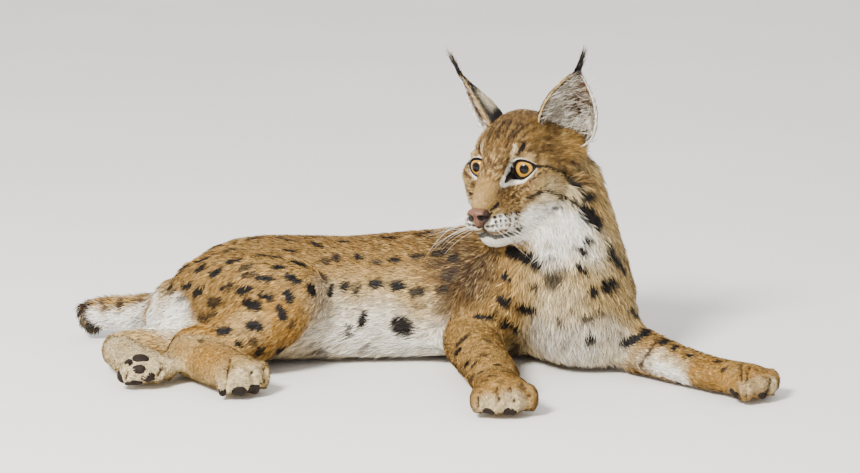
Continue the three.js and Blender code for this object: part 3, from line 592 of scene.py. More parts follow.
# spots: pixel of the middle, half-length and half-width in pixels, tilt in degrees, strength
SPOTS = [
    (254, 240, 8, 3.5, 10, 0.9), (217, 248, 7, 3, 25, 0.95), (230, 252, 7, 3.6, 20, 1), (203, 261, 6, 3, 25, 1),
    (291, 252, 7, 3, -5, 1), (318, 246, 7, 3.5, -20, 1), (283, 240, 6, 3, -15, 0.7), (292, 242, 6, 2.5, -10, 0.7),
    (259, 257, 7, 2.5, 10, 0.8), (277, 258, 8, 2.8, -5, 1), (234, 262, 8, 3, 15, 1), (299, 265, 9, 3, -20, 1),
    (279, 268, 8, 3.2, -5, 1), (247, 268, 8, 3, 20, 0.7), (183, 270, 6, 3.5, 40, 1), (201, 269, 7, 4, 30, 1),
    (217, 273, 8, 3.5, 30, 1), (249, 275, 8, 2.8, 10, 0.8), (265, 279, 9, 3, -10, 1), (293, 279, 9, 4, -25, 1),
    (311, 290, 7, 4.5, -70, 1), (172, 286, 6, 3, 40, 0.9), (188, 286, 7, 3, 25, 0.9), (199, 292, 8, 3.5, 30, 0.9),
    (228, 287, 7, 3.2, 15, 1), (244, 290, 9, 4, 12, 1), (267, 297, 8, 3.5, -15, 1), (289, 296, 7, 4.5, -60, 1),
    (253, 305, 11, 5, -22, 1), (215, 302, 9, 4, 18, 0.8), (172, 292, 7, 2.5, 25, 0.6), (183, 299, 7, 2, 20, 0.6),
    (282, 313, 8, 4, -75, 1), (208, 316, 11, 2.5, 20, 0.7), (255, 326, 9, 4.5, -12, 1), (224, 331, 8, 4, -5, 1),
    (239, 344, 4, 3, -40, 0.9), (254, 341, 5, 3.5, 80, 0.7), (260, 351, 6, 4, 60, 0.85), (280, 350, 6, 5, 75, 0.95),
    (292, 325, 6, 2.5, 60, 0.6), (200, 341, 4, 2.5, -30, 0.6), (323, 278, 4, 5, 90, 0.8), (326, 262, 4, 5, 90, 0.7),
    (346, 243, 6, 4, 0, 1), (337, 260, 6, 4, 80, 0.85), (359, 258, 5, 4, -20, 1), (391, 239, 9, 3.5, 0, 0.95),
    (426, 235, 8, 3.5, 20, 0.85), (377, 263, 6, 3, 0, 0.75), (394, 261, 7, 3.6, 8, 0.9), (418, 257, 7, 3.5, 5, 0.85),
    (439, 254, 8, 4, 10, 0.8), (432, 263, 7, 2.5, 10, 0.5), (454, 258, 6, 4, 10, 0.8), (376, 284, 7, 4.2, 0, 0.95),
    (398, 286, 8, 4.5, 0, 0.95), (417, 291, 8, 4.2, 10, 0.85), (443, 290, 7, 4, 0, 0.75), (448, 276, 7, 4, 0, 0.65),
    (345, 286, 6, 4, 65, 1), (331, 290, 7, 3.2, 75, 0.95), (357, 291, 6, 3.5, 70, 0.8), (421, 306, 8, 2.5, 0, 0.4),
    (439, 311, 8, 3, 0, 0.5), (403, 327, 12, 8, -30, 0.9), (439, 325, 8, 3, 10, 0.4), (363, 319, 9, 3.6, 75, 0.95),
    (348, 331, 8, 3, 80, 0.8), (362, 350, 10, 3.5, 45, 0.6), (323, 353, 8, 4, 85, 0.6), (314, 327, 6, 2, 85, 0.3),
    (301, 311, 4, 2.5, 60, 0.4), (445, 248, 9, 5, 10, 0.5), (428, 268, 9, 2, 5, 0.35), (507, 277, 5, 4.5, 30, 1),
    (536, 286, 5, 3.5, -30, 1), (554, 280, 4, 8, 0, 0.8), (504, 301, 7, 4.5, -15, 1), (527, 308, 11, 5.5, -15, 1),
    (484, 317, 11, 3.5, 0, 1), (511, 326, 12, 3.6, -22, 1), (513, 253, 8, 5.5, -35, 1), (527, 259, 9, 6, -25, 1),
    (538, 265, 6, 5, -10, 1), (559, 321, 5, 3, -60, 0.75), (514, 348, 7, 4.5, 80, 0.6), (463, 340, 10, 3, 40, 0.8),
    (458, 352, 6, 3, 45, 1), (467, 364, 5, 2.6, 50, 1), (475, 364, 5, 1.6, 35, 0.8), (487, 341, 6, 3, -30, 0.6),
    (484, 355, 4, 2, -20, 0.7), (498, 365, 5, 2, 0, 0.8), (480, 373, 5, 2, 30, 0.7), (492, 376, 5, 2, 0, 0.7),
    (472, 378, 5, 2, 40, 0.7), (461, 370, 6, 1.8, 70, 0.6), (506, 372, 5, 2, -10, 0.6), (484, 381, 5, 1.8, 20, 0.6),
    (500, 382, 5, 1.8, -5, 0.5), (468, 382, 5, 1.6, 60, 0.5), (587, 242, 5, 4.5, -45, 1), (582, 252, 6, 3.2, -60, 1),
    (611, 258, 7, 5.5, -30, 1), (619, 267, 8, 6, -60, 1), (608, 285, 10, 6.5, 35, 1), (593, 292, 6, 4.5, -70, 1),
    (581, 270, 7, 3, -40, 0.95), (563, 273, 3, 6, 0, 0.5), (573, 309, 6, 1.8, 80, 0.6), (599, 312, 5, 2.5, -60, 0.7),
    (580, 297, 6, 2, -70, 0.4), (590, 339, 6, 4.5, -70, 0.9), (566, 342, 6, 2.5, -80, 0.45), (631, 341, 10, 5, 15, 1),
    (644, 333, 7, 4.5, 60, 1), (633, 313, 6, 3, -50, 1), (609, 247, 6, 3, -50, 1), (636, 318, 5, 2.5, -30, 0.8),
    (621, 260, 6, 3, -70, 0.8), (573, 250, 3, 3, -60, 0.3), (666, 341, 8, 3, 35, 0.9), (674, 348, 5, 3, 45, 0.9),
    (690, 356, 3.5, 3, 0, 0.9), (697, 352, 5, 2, -20, 0.6), (716, 362, 6, 2.5, 0, 0.7), (723, 370, 3, 3, 0, 0.8),
    (662, 339, 6, 2, 40, 0.6), (105, 305, 5, 3, -60, 0.7), (122, 305, 4, 4, -60, 0.8), (140, 302, 3, 3, 0, 0.5),
    (567, 185, 3, 2, 0, 0.3), (587, 197, 7, 4, 5, 0.95), (581.7, 173, 8, 4, -25, 0.6),
    (574.6, 163.4, 5, 2.5, -35, 0.8), (592, 218, 9, 8, -40, 1), (586, 213, 8, 7, 0, 1), (597, 226, 7, 6, -60, 1),
    (548, 245, 4, 3, 40, 0.4),
]

# lines on the face: pixels along the middle, half-width in pixels, strength
LINES = [
    ([(510.5, 160.5), (512, 155), (514.3, 147)], 1.5, 0.7, CREAM),
    ([(517.4, 154.6), (519.5, 151), (522, 147.6)], 1.1, 1, BLACK),
    ([(521.4, 149.5), (523, 146), (523.4, 144)], 1.9, 1, BLACK),
    ([(536, 166), (540, 166.5), (548.6, 167.5), (554.3, 170.7), (561, 171.5), (567.6, 178), (574.6, 184.5), (581, 188)],
     1.35, 1, BLACK), ([(563, 174), (567.6, 178), (574.6, 184.5), (580, 187.5)], 2.6, 1, BLACK),
    ([(527, 197.8), (535.7, 195.2), (541.4, 191.6), (547, 191), (553, 193.6), (562, 198), (572, 202), (580, 206)],
     1.2, 0.95, BLACK), ([(560, 197), (572, 202), (582, 207)], 2.7, 1, BLACK),
    ([(530, 181), (535.7, 177.3), (540.7, 173.9)], 0.9, 0.9, UMBER), ([(543.6, 170.7), (547, 173)], 1.2, 0.8, UMBER),
    ([(521, 188), (528.6, 186.4)], 1.0, 0.8, UMBER), ([(535.7, 190), (541.4, 188.4)], 0.9, 0.7, UMBER),
    ([(544.3, 185.7), (548.6, 183.6)], 0.9, 0.6, UMBER), ([(553.6, 182), (557, 182)], 1.1, 0.6, UMBER),
    ([(525, 202.5), (531, 201)], 1.2, 0.6, UMBER), ([(540, 203.5), (545, 202.5)], 1.2, 0.6, UMBER),
    ([(545, 207), (547, 212)], 1.0, 0.5, UMBER), ([(552, 208.5), (557, 207.6), (563, 208)], 1.0, 0.85, BLACK),
    ([(534, 208), (540, 209.5)], 0.8, 0.4, UMBER), ([(549, 242), (550.5, 246), (546.5, 249)], 1.3, 0.5, TAN),
    ([(490.8, 210), (494.4, 207.4)], 1.0, 1, BLACK), ([(494.6, 207.2), (497.9, 204.4)], 1.5, 1, BLACK),
    ([(491.5, 213.3), (487, 215.2)], 1.1, 1, BLACK),
    ([(484.4, 217), (484.4, 221), (483, 226), (482.8, 230)], 1.3, 0.95, BLACK),
    ([(483.5, 231), (488.3, 234.2), (495, 236), (501.7, 235), (509.2, 233.6), (516.7, 230.6), (520.5, 227.5)],
     2.5, 0.9, BLACK), ([(468, 223.6), (472.5, 225.3), (476.5, 226)], 1.0, 0.8, UMBER),
    ([(514, 137), (521, 129), (530, 123)], 1.0, 0.8, BLACK), ([(499, 139), (505, 130), (514, 121)], 1.0, 0.8, BLACK),
    ([(507, 140), (513, 131), (521, 124)], 0.9, 0.7, BLACK), ([(492, 141), (498, 130), (507, 121)], 0.9, 0.7, BLACK),
    ([(519, 142), (527, 133), (536, 128)], 0.9, 0.6, BLACK), ([(487, 146), (490, 135), (498, 124)], 0.9, 0.6, BLACK),
    ([(502, 165), (497, 156), (499, 147)], 0.9, 0.6, UMBER), ([(492, 168), (489, 157), (493, 149)], 0.9, 0.6, UMBER),
    ([(531, 143), (540, 139), (551, 138)], 1.0, 0.6, UMBER), ([(538, 152), (551, 150), (563, 153)], 1.0, 0.6, UMBER),
    ([(546, 145), (558, 144), (568, 148)], 0.9, 0.6, UMBER), ([(466, 160), (470, 150), (476, 143)], 0.9, 0.5, UMBER),
    ([(483, 150), (486, 140), (492, 131)], 0.9, 0.6, UMBER), ([(508, 152), (506, 147), (509, 141)], 0.8, 0.6, UMBER),
    ([(528, 152), (535, 148), (544, 147)], 0.9, 0.6, UMBER), ([(553, 160), (563, 160), (572, 164)], 0.9, 0.5, UMBER),
    ([(484, 165), (483, 158), (485, 151)], 0.8, 0.5, UMBER),
    # the umber line from pixel (501, 178) to (503.6, 192), down the side of the nose under the eye's inner corner, is
    # painted shade
    ([(501, 178), (502.5, 186), (503.6, 192)], 1.7, 0.4, UMBER), ([(574, 160), (579, 166)], 1.6, 0.6, UMBER),
    ([(582, 171), (589, 175)], 1.8, 0.7, UMBER),
]
# painted shade: dark lines in the creases of the forelegs, by the chest and at the near elbow, and along the grooves
# between the toes; pixels along the middle, half-width in pixels, strength
PAW_SHADE_LINES = [
    ([(641, 365), (650, 352), (657, 341), (663, 330)], 2.4, 0.9), ([(470, 333), (461, 341), (452, 355)], 2.0, 0.8),
]
PAW_SHADE_LINES += [(pixels, 1.3, 0.9) for pixels, depth in TOE_GROOVES]
# whisker rows on the pad: first and last pixel of each row, how many dots, half-width and strength
WHISKER_ROWS = [
    ((494.6, 217.3), (517, 212.9), 5, 1.45, 1), ((495.8, 221.6), (515.4, 219.2), 5, 1.4, 1),
    ((488.5, 226.4), (514.4, 224.7), 7, 1.15, 0.95), ((496.5, 230.4), (517, 229.4), 5, 1.2, 0.8),
]
SPOT_SPREAD, LINE_SPREAD, WHISKER_SPREAD = 1.18, 1.3, 1.55  # how much wider the marks are laid than given
SPOT_STRONGER, PALE_SPOT = 1.1, 0.55
SPOT_FOLLOWS = 3.5  # an end of a spot this many of its half-lengths off lies on another part of the body
SCATTER_APART = 27  # between spots of the side that the photograph doesn't show
SCATTER_SEED, SCATTER_TRIES = 5, 4000
MM_A_PIXEL = CAMERA_AWAY / FOCAL_PIXELS


def laid_line(pixels, half_width):
    """A line's points on the skin, with its half-width in mm there."""
    points = [p for p in (cast(*pixel) for pixel in pixels) if p is not None]
    return np.array(points), half_width * MM_A_PIXEL


marks = []  # each a line of points, half-width, strength, colour, and whether the other side of the face has it
for px, py, long, wide, tilt, strength in SPOTS:
    reach = max(long - wide, 0.3)
    ends = [(px + k * reach * cos(radians(tilt)), py - k * reach * sin(radians(tilt))) for k in (-1, 0, 1)]
    middle = cast(px, py)
    if middle is None:
        continue
    points = [cast(*e) for e in ends]
    points = [p for p in points if p is not None and np.linalg.norm(p - middle) < SPOT_FOLLOWS * long]
    ahead, _, up = to_head(middle)
    on_face = ahead > -60 and up > -75 and 440 < px < 602 and py < 232
    half_width = SPOT_SPREAD * wide * np.linalg.norm(middle - camera_place) / FOCAL_PIXELS
    tint = BLACK if strength > PALE_SPOT else UMBER
    marks.append((np.array(points), half_width, min(strength * SPOT_STRONGER, 1), tint, on_face))
for pixels, half_width, strength, colour in LINES:
    marks.append((*laid_line(pixels, half_width * LINE_SPREAD), strength, colour, True))
# the lines of the legs and toes are laid in umber as painted shade
for pixels, half_width, strength in PAW_SHADE_LINES:
    marks.append((*laid_line(pixels, half_width), strength, UMBER, False))
whisker_roots = []
for first, last, count, half_width, strength in WHISKER_ROWS:
    for k in range(count):
        px, py = (first[i] + (last[i] - first[i]) * k / (count - 1) for i in range(2))
        whisker_roots.append(cast(px, py))
        marks.append((np.array([whisker_roots[-1]]), half_width * WHISKER_SPREAD, strength, BLACK, True))
marks = [mark for mark in marks if len(mark[0])]

# spots of the far side, kept apart from one another, along the lie of the coat
draw = np.random.default_rng(SCATTER_SEED)
spotted = sum(share_of[r] for r in ("torso", "chest", "neck", "hind_right_upper", "fore_left_upper"))
hidden = skin_normals @ sight > -0.12
hidden &= (spotted > 0.6) & (skin_points[:, 2] > 16) & (np.abs(skin_normals[:, 2]) < 0.97)
far_side = draw.permutation(np.flatnonzero(hidden))
scattered = np.zeros((0, 3))
for p in skin_points[far_side[:SCATTER_TRIES]]:
    if len(scattered) and np.min(np.linalg.norm(scattered - p, axis=1)) < SCATTER_APART:
        continue
    scattered = np.vstack([scattered, p])
    along = np.array((-1, 0.1, -0.1)) * draw.uniform(3, 7)
    marks.append((np.array([p - along, p + along]), draw.uniform(3.2, 5), draw.uniform(0.7, 1), BLACK, False))


def spread_noise(points, size, seed):
    """Smooth noise from -1 to 1, made of a few crossed waves."""
    wave = np.random.default_rng(seed)
    total = np.zeros(len(points))
    for _ in range(6):
        direction = wave.normal(size=3)
        direction /= np.linalg.norm(direction) * size * wave.uniform(0.6, 1.5)
        total += np.sin(points @ direction * 2 * pi + wave.uniform(0, 2 * pi))
    return total / 3.2


face_patches = [(to_head(cast(px, py)), reach, colour, power) for px, py, reach, colour, power in FACE_PATCHES]
body_patches = [(cast(px, py), reach, colour, power) for px, py, reach, colour, power in BODY_PATCHES]
body_patches = [patch for patch in body_patches if patch[0] is not None]

FLECK_SIZE = np.array((5.5, 2.2, 2.2))
FACE_FLECK_LONG, FACE_FLECKS_ROUND = 5.0, 44
FLECKS_FROM = (64, 0, -42)  # the tip of the nose


def flecks(points, on_head):
    """Fine streaks of noise along the lie of the coat: back over the body, and away from the nose on the head."""
    body = np.array([noise.noise(Vector(p / FLECK_SIZE)) for p in points])
    from_tip = to_head(points) - np.array(FLECKS_FROM)
    away = np.linalg.norm(from_tip, axis=1)
    spread = from_tip / away[:, None] * FACE_FLECKS_ROUND
    spread[:, 0] += away / FACE_FLECK_LONG
    face = np.zeros(len(points))
    near = np.flatnonzero(on_head > 0.05)
    face[near] = [noise.noise(Vector(p)) for p in spread[near]]
    return (body + (face - body) * on_head) * 1.7


def mix(colour, other, share):
    return colour + (other - colour) * share[:, None]


def coat_colour(points, shares, normals):
    """Colour of the coat at points, given each part's share there."""
    colour = sum(shares[r][:, None] * GROUND[r] for r in regions)
    total = np.clip(sum(shares[r] for r in regions), 1e-6, None)
    colour = colour / total[:, None]
    torso = shares["torso"]
    toward = -(normals @ sight)
    low = smooth_step(100, 60, points[:, 2]) * smooth_step(-0.2, 0.3, toward)
    colour = mix(colour, CREAM, np.clip(torso * low, 0, 1) * 0.8)
    colour = mix(colour, BROWN, smooth_step(105, 140, points[:, 2]) * torso * 0.6)
    nape = np.clip(shares["neck"] + shares["chest"] * smooth_step(70, 110, points[:, 2]), 0, 1)
    colour = mix(colour, BROWN, nape * smooth_step(0.1, -0.5, toward) * 0.6)
    breast = np.clip(shares["chest"], 0, 1) * smooth_step(70, 30, points[:, 2])
    colour = mix(colour, CREAM, breast * smooth_step(-0.3, 0.2, toward) * 0.7)
    wobble = spread_noise(points, 40, 3)
    # some of these patches are painted shade, behind the near shoulder and along the bottom of the chest
    for place, reach, patch, power in body_patches:
        away = np.linalg.norm(points - place, axis=1) / reach
        near = away < 1.6
        colour[near] = mix(colour[near], patch, power * smooth_step(1.45, 0.45, away[near] + 0.12 * wobble[near]))
    local = one_sided(to_head(points))
    on_head = shares["head"] > 0.3
    # ticking: fine dark and pale flecks, strongest on the face
    fleck = flecks(points, smooth_step(0.3, 0.6, shares["head"]))
    ticked = (0.38 + 0.4 * shares["head"]) * smooth_step(0.75, 0.4, colour[:, 2])
    colour = mix(colour, UMBER, ticked * smooth_step(0.1, 0.6, fleck))
    colour = mix(colour, SAND, ticked * smooth_step(-0.1, -0.6, fleck))
    for place, reach, patch, power in face_patches:
        away = np.linalg.norm(local - place * (1, np.sign(place[1]), 1), axis=1) / reach
        near = (away < 1.6) & on_head
        colour[near] = mix(colour[near], patch, power * smooth_step(1.4, 0.5, away[near]))
    # the rim round each eye: white fur outside the black line of the lids, widest below and towards the nose
    rim = lid_distance(local)
    round_eye = np.arctan2(*(along_eye(local)[0] - lid_middle).T[::-1])
    white_wide = 3.7 + 2.1 * np.cos(round_eye - radians(212))
    at_eye = on_head & (rim < 12)
    share = smooth_step(0.9, -0.9, rim - white_wide)[at_eye]
    colour[at_eye] = mix(colour[at_eye], WHITE, 0.95 * share)
    colour[at_eye] = mix(colour[at_eye], BLACK, smooth_step(1.3, 0.9, rim[at_eye]))
    fray = spread_noise(points, 5, 9) * 0.12
    for line, half_width, strength, tint, both in marks:
        where, path = points, line
        if both:
            path = to_head(line)
            path = path * (1, -1 if path[:, 1].mean() < 0 else 1, 1)
            where = local
        middle = path.mean(0)
        reach = np.max(np.linalg.norm(path - middle, axis=1)) + half_width * 2
        near = np.flatnonzero(np.linalg.norm(where - middle, axis=1) < reach)
        away = line_distance(where[near], path if len(path) > 1 else path.repeat(2, 0))
        share = strength * smooth_step(1.2, 0.8, away / half_width + fray[near])
        colour[near] = mix(colour[near], tint, share)
    return colour


def paint(mesh, colours):
    """Gives a mesh the colours that its material reads, vertex by vertex."""
    layer = mesh.color_attributes.new("Coat", "FLOAT_COLOR", "POINT")
    rgba = np.ones((len(colours), 4), np.float32)
    rgba[:, :3] = colours
    layer.data.foreach_set("color", rgba.ravel())


paint(skin.data, coat_colour(skin_points, share_of, skin_normals))


def new_material(name, values):
    """A material with values given to its shader's sockets. Returns it with its nodes and its shader."""
    made = bpy.data.materials.new(name)
    made.use_nodes = True
    shader = made.node_tree.nodes["Principled BSDF"]
    for socket, value in values.items():
        shader.inputs[socket].default_value = value
    return made, made.node_tree, shader


def add_node(tree, kind, values=None, **settings):
    """A node with its settings. Each input named is given a value, or linked from the output that is given."""
    made = tree.nodes.new("ShaderNode" + kind)
    for setting, value in settings.items():
        setattr(made, setting, value)
    for socket, value in (values or {}).items():
        if isinstance(value, bpy.types.NodeSocket):
            tree.links.new(value, made.inputs[socket])
        else:
            made.inputs[socket].default_value = value
    return made


def shade_by(tree, shader, colour, pattern, low, high):
    """Gives the shader a colour that a noise darkens and lightens, from `low` to `high`."""
    limits = {"From Min": 0.3, "From Max": 0.7, "To Min": low, "To Max": high}
    level = add_node(tree, "MapRange", {**limits, "Value": pattern})
    shade = add_node(
        tree, "Mix", {"Factor": 1, 6: colour, 7: level.outputs["Result"]}, data_type="RGBA", blend_type="MULTIPLY"
    )
    tree.links.new(shade.outputs[2], shader.inputs["Base Color"])


def coat_material(name, roughness, darken):
    """Hair or skin in the colours that the piece carries, with a fine grain over them."""
    made, tree, shader = new_material(name, {"Roughness": roughness, "Specular IOR Level": 0.25})
    tint = add_node(tree, "VertexColor", layer_name="Coat")
    place = add_node(tree, "TexCoord")
    grain = add_node(tree, "TexNoise", {"Scale": 900, "Detail": 2, "Vector": place.outputs["Object"]})
    shade_by(tree, shader, tint.outputs["Color"], grain.outputs["Fac"], darken, 1.08)
    return made


skin_finish = coat_material("skin under the coat", 0.8, 0.6)
skin.data.materials.clear()
skin.data.materials.append(skin_finish)

# Ears: thin cups of skin and gristle that stand on the head, hollow to the front.
# Each is a closed sheet wrapped round the back of the ear, with its rims turned in, and takes the place of the
# packed ear. The right one is turned further out, as in the photograph.
EAR_TALL = 81
EAR_WIDTHS = (33, 35, 33, 27, 16.5, 3)
EAR_DEPTHS = (20, 20, 17.5, 12, 6, 2)
EAR_WRAP = radians(112)  # from the middle of the back to each rim
EAR_SUNK = 0.3  # share of the height that runs down into the head
EAR_THICK = 1.6
EAR_UNDER_HAIR = 1.2  # how far the cups lie under the outline of their hair
# side, root, how far its hollow is turned out, in degrees, and the way it rises
EAR_SHAPES = {
    "ear_left": (1, (-66, 48.5, 28.2), 28, (0.165, 0.336, 0.918)),
    "ear_right": (-1, (-70, -43, 26), 52, (0.165, -0.436, 0.9)),
}
EAR_SKIN = srgb(104, 70, 50)


def ear_axes(side, turn, rise):
    """The ear's own axes, in the head's: up the ear, out of its hollow, and towards the middle of the head."""
    rise = np.array(rise) / np.linalg.norm(rise)
    open_way = np.array((cos(radians(turn)), side * sin(radians(turn)), 0))
    across = np.cross(open_way, rise)
    across /= np.linalg.norm(across)
    return rise, np.cross(rise, across), across * side


def ear_surface(name, angle, height, under):
    """Points of an ear at angles round from the middle of its back, towards the head's middle."""
    side, root, turn, rise = EAR_SHAPES[name]
    rise, open_way, inward = ear_axes(side, turn, rise)
    stations = np.linspace(0, 1, len(EAR_WIDTHS))
    drawn_in = 1 - 0.7 * smooth_step(0.06, -EAR_SUNK, height)
    wide = np.maximum(np.interp(height, stations, EAR_WIDTHS) * drawn_in - EAR_UNDER_HAIR - under, 0.4)
    deep = np.maximum(np.interp(height, stations, EAR_DEPTHS) - EAR_UNDER_HAIR - under, 0.3)
    local = np.array(root) + rise * (height * EAR_TALL)[:, None]
    local = local - open_way * (deep * np.cos(angle))[:, None] + inward * (wide * np.sin(angle))[:, None]
    return from_head(local)


def join_into(joined, bm):
    """Adds a finished bmesh to another."""
    made = bpy.data.meshes.new("joined")
    bm.to_mesh(made)
    bm.free()
    joined.from_mesh(made)
    bpy.data.meshes.remove(made)


def add_sphere(bm, round_it, down):
    """A unit sphere of rings. Its faces come in another order in each run, so they are sorted, for the draws."""
    bmesh.ops.create_uvsphere(bm, u_segments=round_it, v_segments=down, radius=1)
    bm.verts.index_update()
    bm.faces.sort(key=lambda face: sum(vert.index * 10000 ** (2 - i) for i, vert in enumerate(face.verts[:3])))


ear_parts = {}
ears_joined = bmesh.new()
for name in EAR_SHAPES:
    cup = bmesh.new()
    add_sphere(cup, 64, 36)
    bmesh.ops.triangulate(cup, faces=cup.faces)
    unit = np.array([v.co for v in cup.verts])
    round_it = np.mod(np.arctan2(unit[:, 1], unit[:, 0]) / pi, 2)  # 0 to 1 on the back, 1 to 2 in the hollow
    height = 1 - np.arccos(np.clip(unit[:, 2], -1, 1)) / pi
    height = height * (1 + EAR_SUNK) - EAR_SUNK
    hollow = round_it > 1
    angle = EAR_WRAP * np.where(hollow, 3 - 2 * round_it, 2 * round_it - 1)
    points = ear_surface(name, angle, height, np.where(hollow, EAR_THICK, 0))
    for vert, p in zip(cup.verts, to_frame(points)):
        vert.co = p
    bmesh.ops.smooth_vert(cup, verts=cup.verts, factor=0.5, use_axis_x=True, use_axis_y=True, use_axis_z=True)
    bmesh.ops.recalc_face_normals(cup, faces=cup.faces)
    faces = np.array([[v.index for v in f.verts] for f in cup.faces])
    points = np.array([v.co for v in cup.verts]) / MM - plan_shift
    ear_parts[name] = dict(
        points=points, faces=faces, normals=vertex_normals(points, faces), angle=angle, height=height, hollow=hollow
    )
    join_into(ears_joined, cup)
ears = new_piece("ears", ears_joined)


def ear_colour(angle, height, hollow):
    """Colour of an ear. The angle is 0 at the middle of its back, and positive towards the head."""
    turn = np.abs(angle) / EAR_WRAP
    back = np.tile(BLACK, (len(angle), 1))
    patch = smooth_step(0.26, 0.36, height) * smooth_step(0.7, 0.54, height) * smooth_step(0.8, 0.5, turn)
    back = mix(back, GREY_CREAM, patch * 0.9)
    back = mix(back, BROWN, smooth_step(0.14, 0.02, height))
    inside = np.tile(EAR_SKIN, (len(angle), 1))
    # low in the hollow the skin is painted umber, and black deeper down away from the rims: painted shade inside the
    # cup
    inside = mix(inside, UMBER, smooth_step(0.62, 0.4, height) * 0.7)
    inside = mix(inside, BLACK, smooth_step(0.42, 0.15, height) * smooth_step(0.9, 0.5, turn) * 0.9)
    inside = mix(inside, TAN, smooth_step(0.6, 0.8, turn) * (angle > 0))
    colour = np.where(hollow[:, None], inside, back)
    rim = np.where((angle > 0)[:, None], SAND, WHITE)
    return mix(colour, rim, smooth_step(0.84, 0.95, turn) * smooth_step(1.0, 0.85, height))


ear_points, ear_normals, ear_angle, ear_height, ear_hollow = (
    np.concatenate([part[key] for part in ear_parts.values()])
    for key in ("points", "normals", "angle", "height", "hollow")
)
ear_tint = ear_colour(ear_angle, ear_height, ear_hollow)
paint(ears.data, ear_tint)
ears.data.materials.append(skin_finish)
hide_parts(*EAR_SHAPES)
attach(ears, "root")

# Eyes: wet balls with an amber iris round a black pupil, under a clear dome.
# Each is a sphere with its pole turned to the pixel where the photograph shows the middle of the iris, and takes
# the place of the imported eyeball. The iris is coloured by a map centred on that pole.
IRIS_PIXELS = {1: (524, 169.3), -1: (475.6, 167.3)}
IRIS_ANGLE = 46  # from the middle of the pupil to the edge of the iris, in degrees
PUPIL_ANGLE = 21
DOME_RISE, LID_GAP = 0.9, 0.4

eyes_joined = bmesh.new()
eyes_joined.loops.layers.uv.new("gaze")
for side, pixel in IRIS_PIXELS.items():
    centre = from_head(EYE_PLACE * (1, side, 1))
    ray = ray_of(*pixel)
    to_centre = centre - camera_place
    along = to_centre @ ray
    miss = np.linalg.norm(to_centre - along * ray)
    along -= np.sqrt(max(EYE_RADIUS**2 - miss**2, 0))
    gaze = Vector(camera_place + along * ray - centre).normalized()
    eyeball = bmesh.new()
    add_sphere(eyeball, 48, 48)
    ball_map = eyeball.loops.layers.uv.new("gaze")
    for face in eyeball.faces:
        for loop in face.loops:
            x, y, z = loop.vert.co
            off = np.arccos(np.clip(z, -1, 1)) / pi
            flat = max(np.hypot(x, y), 1e-9)
            loop[ball_map].uv = (0.5 + off * x / flat / 2, 0.5 + off * y / flat / 2)
    for vert in eyeball.verts:
        off = np.degrees(np.arccos(np.clip(vert.co.z, -1, 1))) / IRIS_ANGLE
        vert.co *= EYE_RADIUS - LID_GAP + DOME_RISE * max(1 - off * off, 0)
    turn = gaze.to_track_quat("Z", "Y").to_matrix().to_4x4()
    bmesh.ops.transform(eyeball, matrix=turn, verts=eyeball.verts)
    for vert in eyeball.verts:
        vert.co = to_frame(np.array(vert.co) + centre)
    join_into(eyes_joined, eyeball)
eyes = new_piece("eyes", eyes_joined)

iris_finish, tree, shader = new_material("wet eye with amber iris", {
    "Roughness": 0.25, "Specular IOR Level": 0.05, "Coat Weight": 1, "Coat IOR": 1.3, "Coat Roughness": 0.02,
})
gaze_map = add_node(tree, "UVMap", uv_map="gaze")
centred = add_node(tree, "VectorMath", {0: gaze_map.outputs["UV"], 1: (0.5, 0.5, 0)}, operation="SUBTRACT")
off_axis = add_node(tree, "VectorMath", {0: centred.outputs["Vector"]}, operation="LENGTH")
# the ramp runs from the pole to 90 degrees off it
quarters = add_node(tree, "Math", {0: off_axis.outputs["Value"], 1: 4}, operation="MULTIPLY")
rings = add_node(tree, "ValToRGB", {"Fac": quarters.outputs["Value"]})
RING_COLOURS = [
    (PUPIL_ANGLE - 1, srgb(4, 3, 3)), (PUPIL_ANGLE + 1, srgb(140, 96, 24)), (PUPIL_ANGLE + 5, srgb(190, 138, 36)),
    (IRIS_ANGLE - 12, srgb(178, 132, 44)), (IRIS_ANGLE - 3, srgb(150, 102, 30)), (IRIS_ANGLE, srgb(70, 42, 14)),
    (IRIS_ANGLE + 3, srgb(10, 7, 6)),
]
while len(rings.color_ramp.elements) < len(RING_COLOURS):
    rings.color_ramp.elements.new(0.5)
for element, (angle, colour) in zip(rings.color_ramp.elements, RING_COLOURS):
    element.position = angle / 90
    element.color = (*colour, 1)
spoke = add_node(tree, "VectorMath", {0: centred.outputs["Vector"]}, operation="NORMALIZE")
fibres = add_node(tree, "TexNoise", {"Scale": 9, "Detail": 4, "Vector": spoke.outputs["Vector"]})
shade_by(tree, shader, rings.outputs["Color"], fibres.outputs["Fac"], 0.72, 1.15)
eyes.data.materials.append(iris_finish)
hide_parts("eye_left", "eye_right")
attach(eyes, "root")

# Eyelids: the bare black rims that close on each eyeball, drawn out to a dark corner beside the nose.
# Rings of skin run from against the ball, over the lid's edge and out under the fur of the face.
# each ring: how far outside the lids' edge, whether it lies on the face, and how far it stands out there
LID_RINGS = ((-1.6, 0, -0.7), (-0.5, 0, 0.5), (0.1, 1, 0.7), (0.8, 1, 0.9), (1.5, 1, 0.1), (2.6, 1, -1.6))


def face_ahead(flat):
    """How far ahead along the eye's axis the skin of the face lies."""
    ahead = np.full(len(flat), 60.0)
    for _ in range(60):
        ahead = ahead - 0.7 * (head_form(off_eye_axis(flat, ahead)) + FACE_INSET)
    return ahead


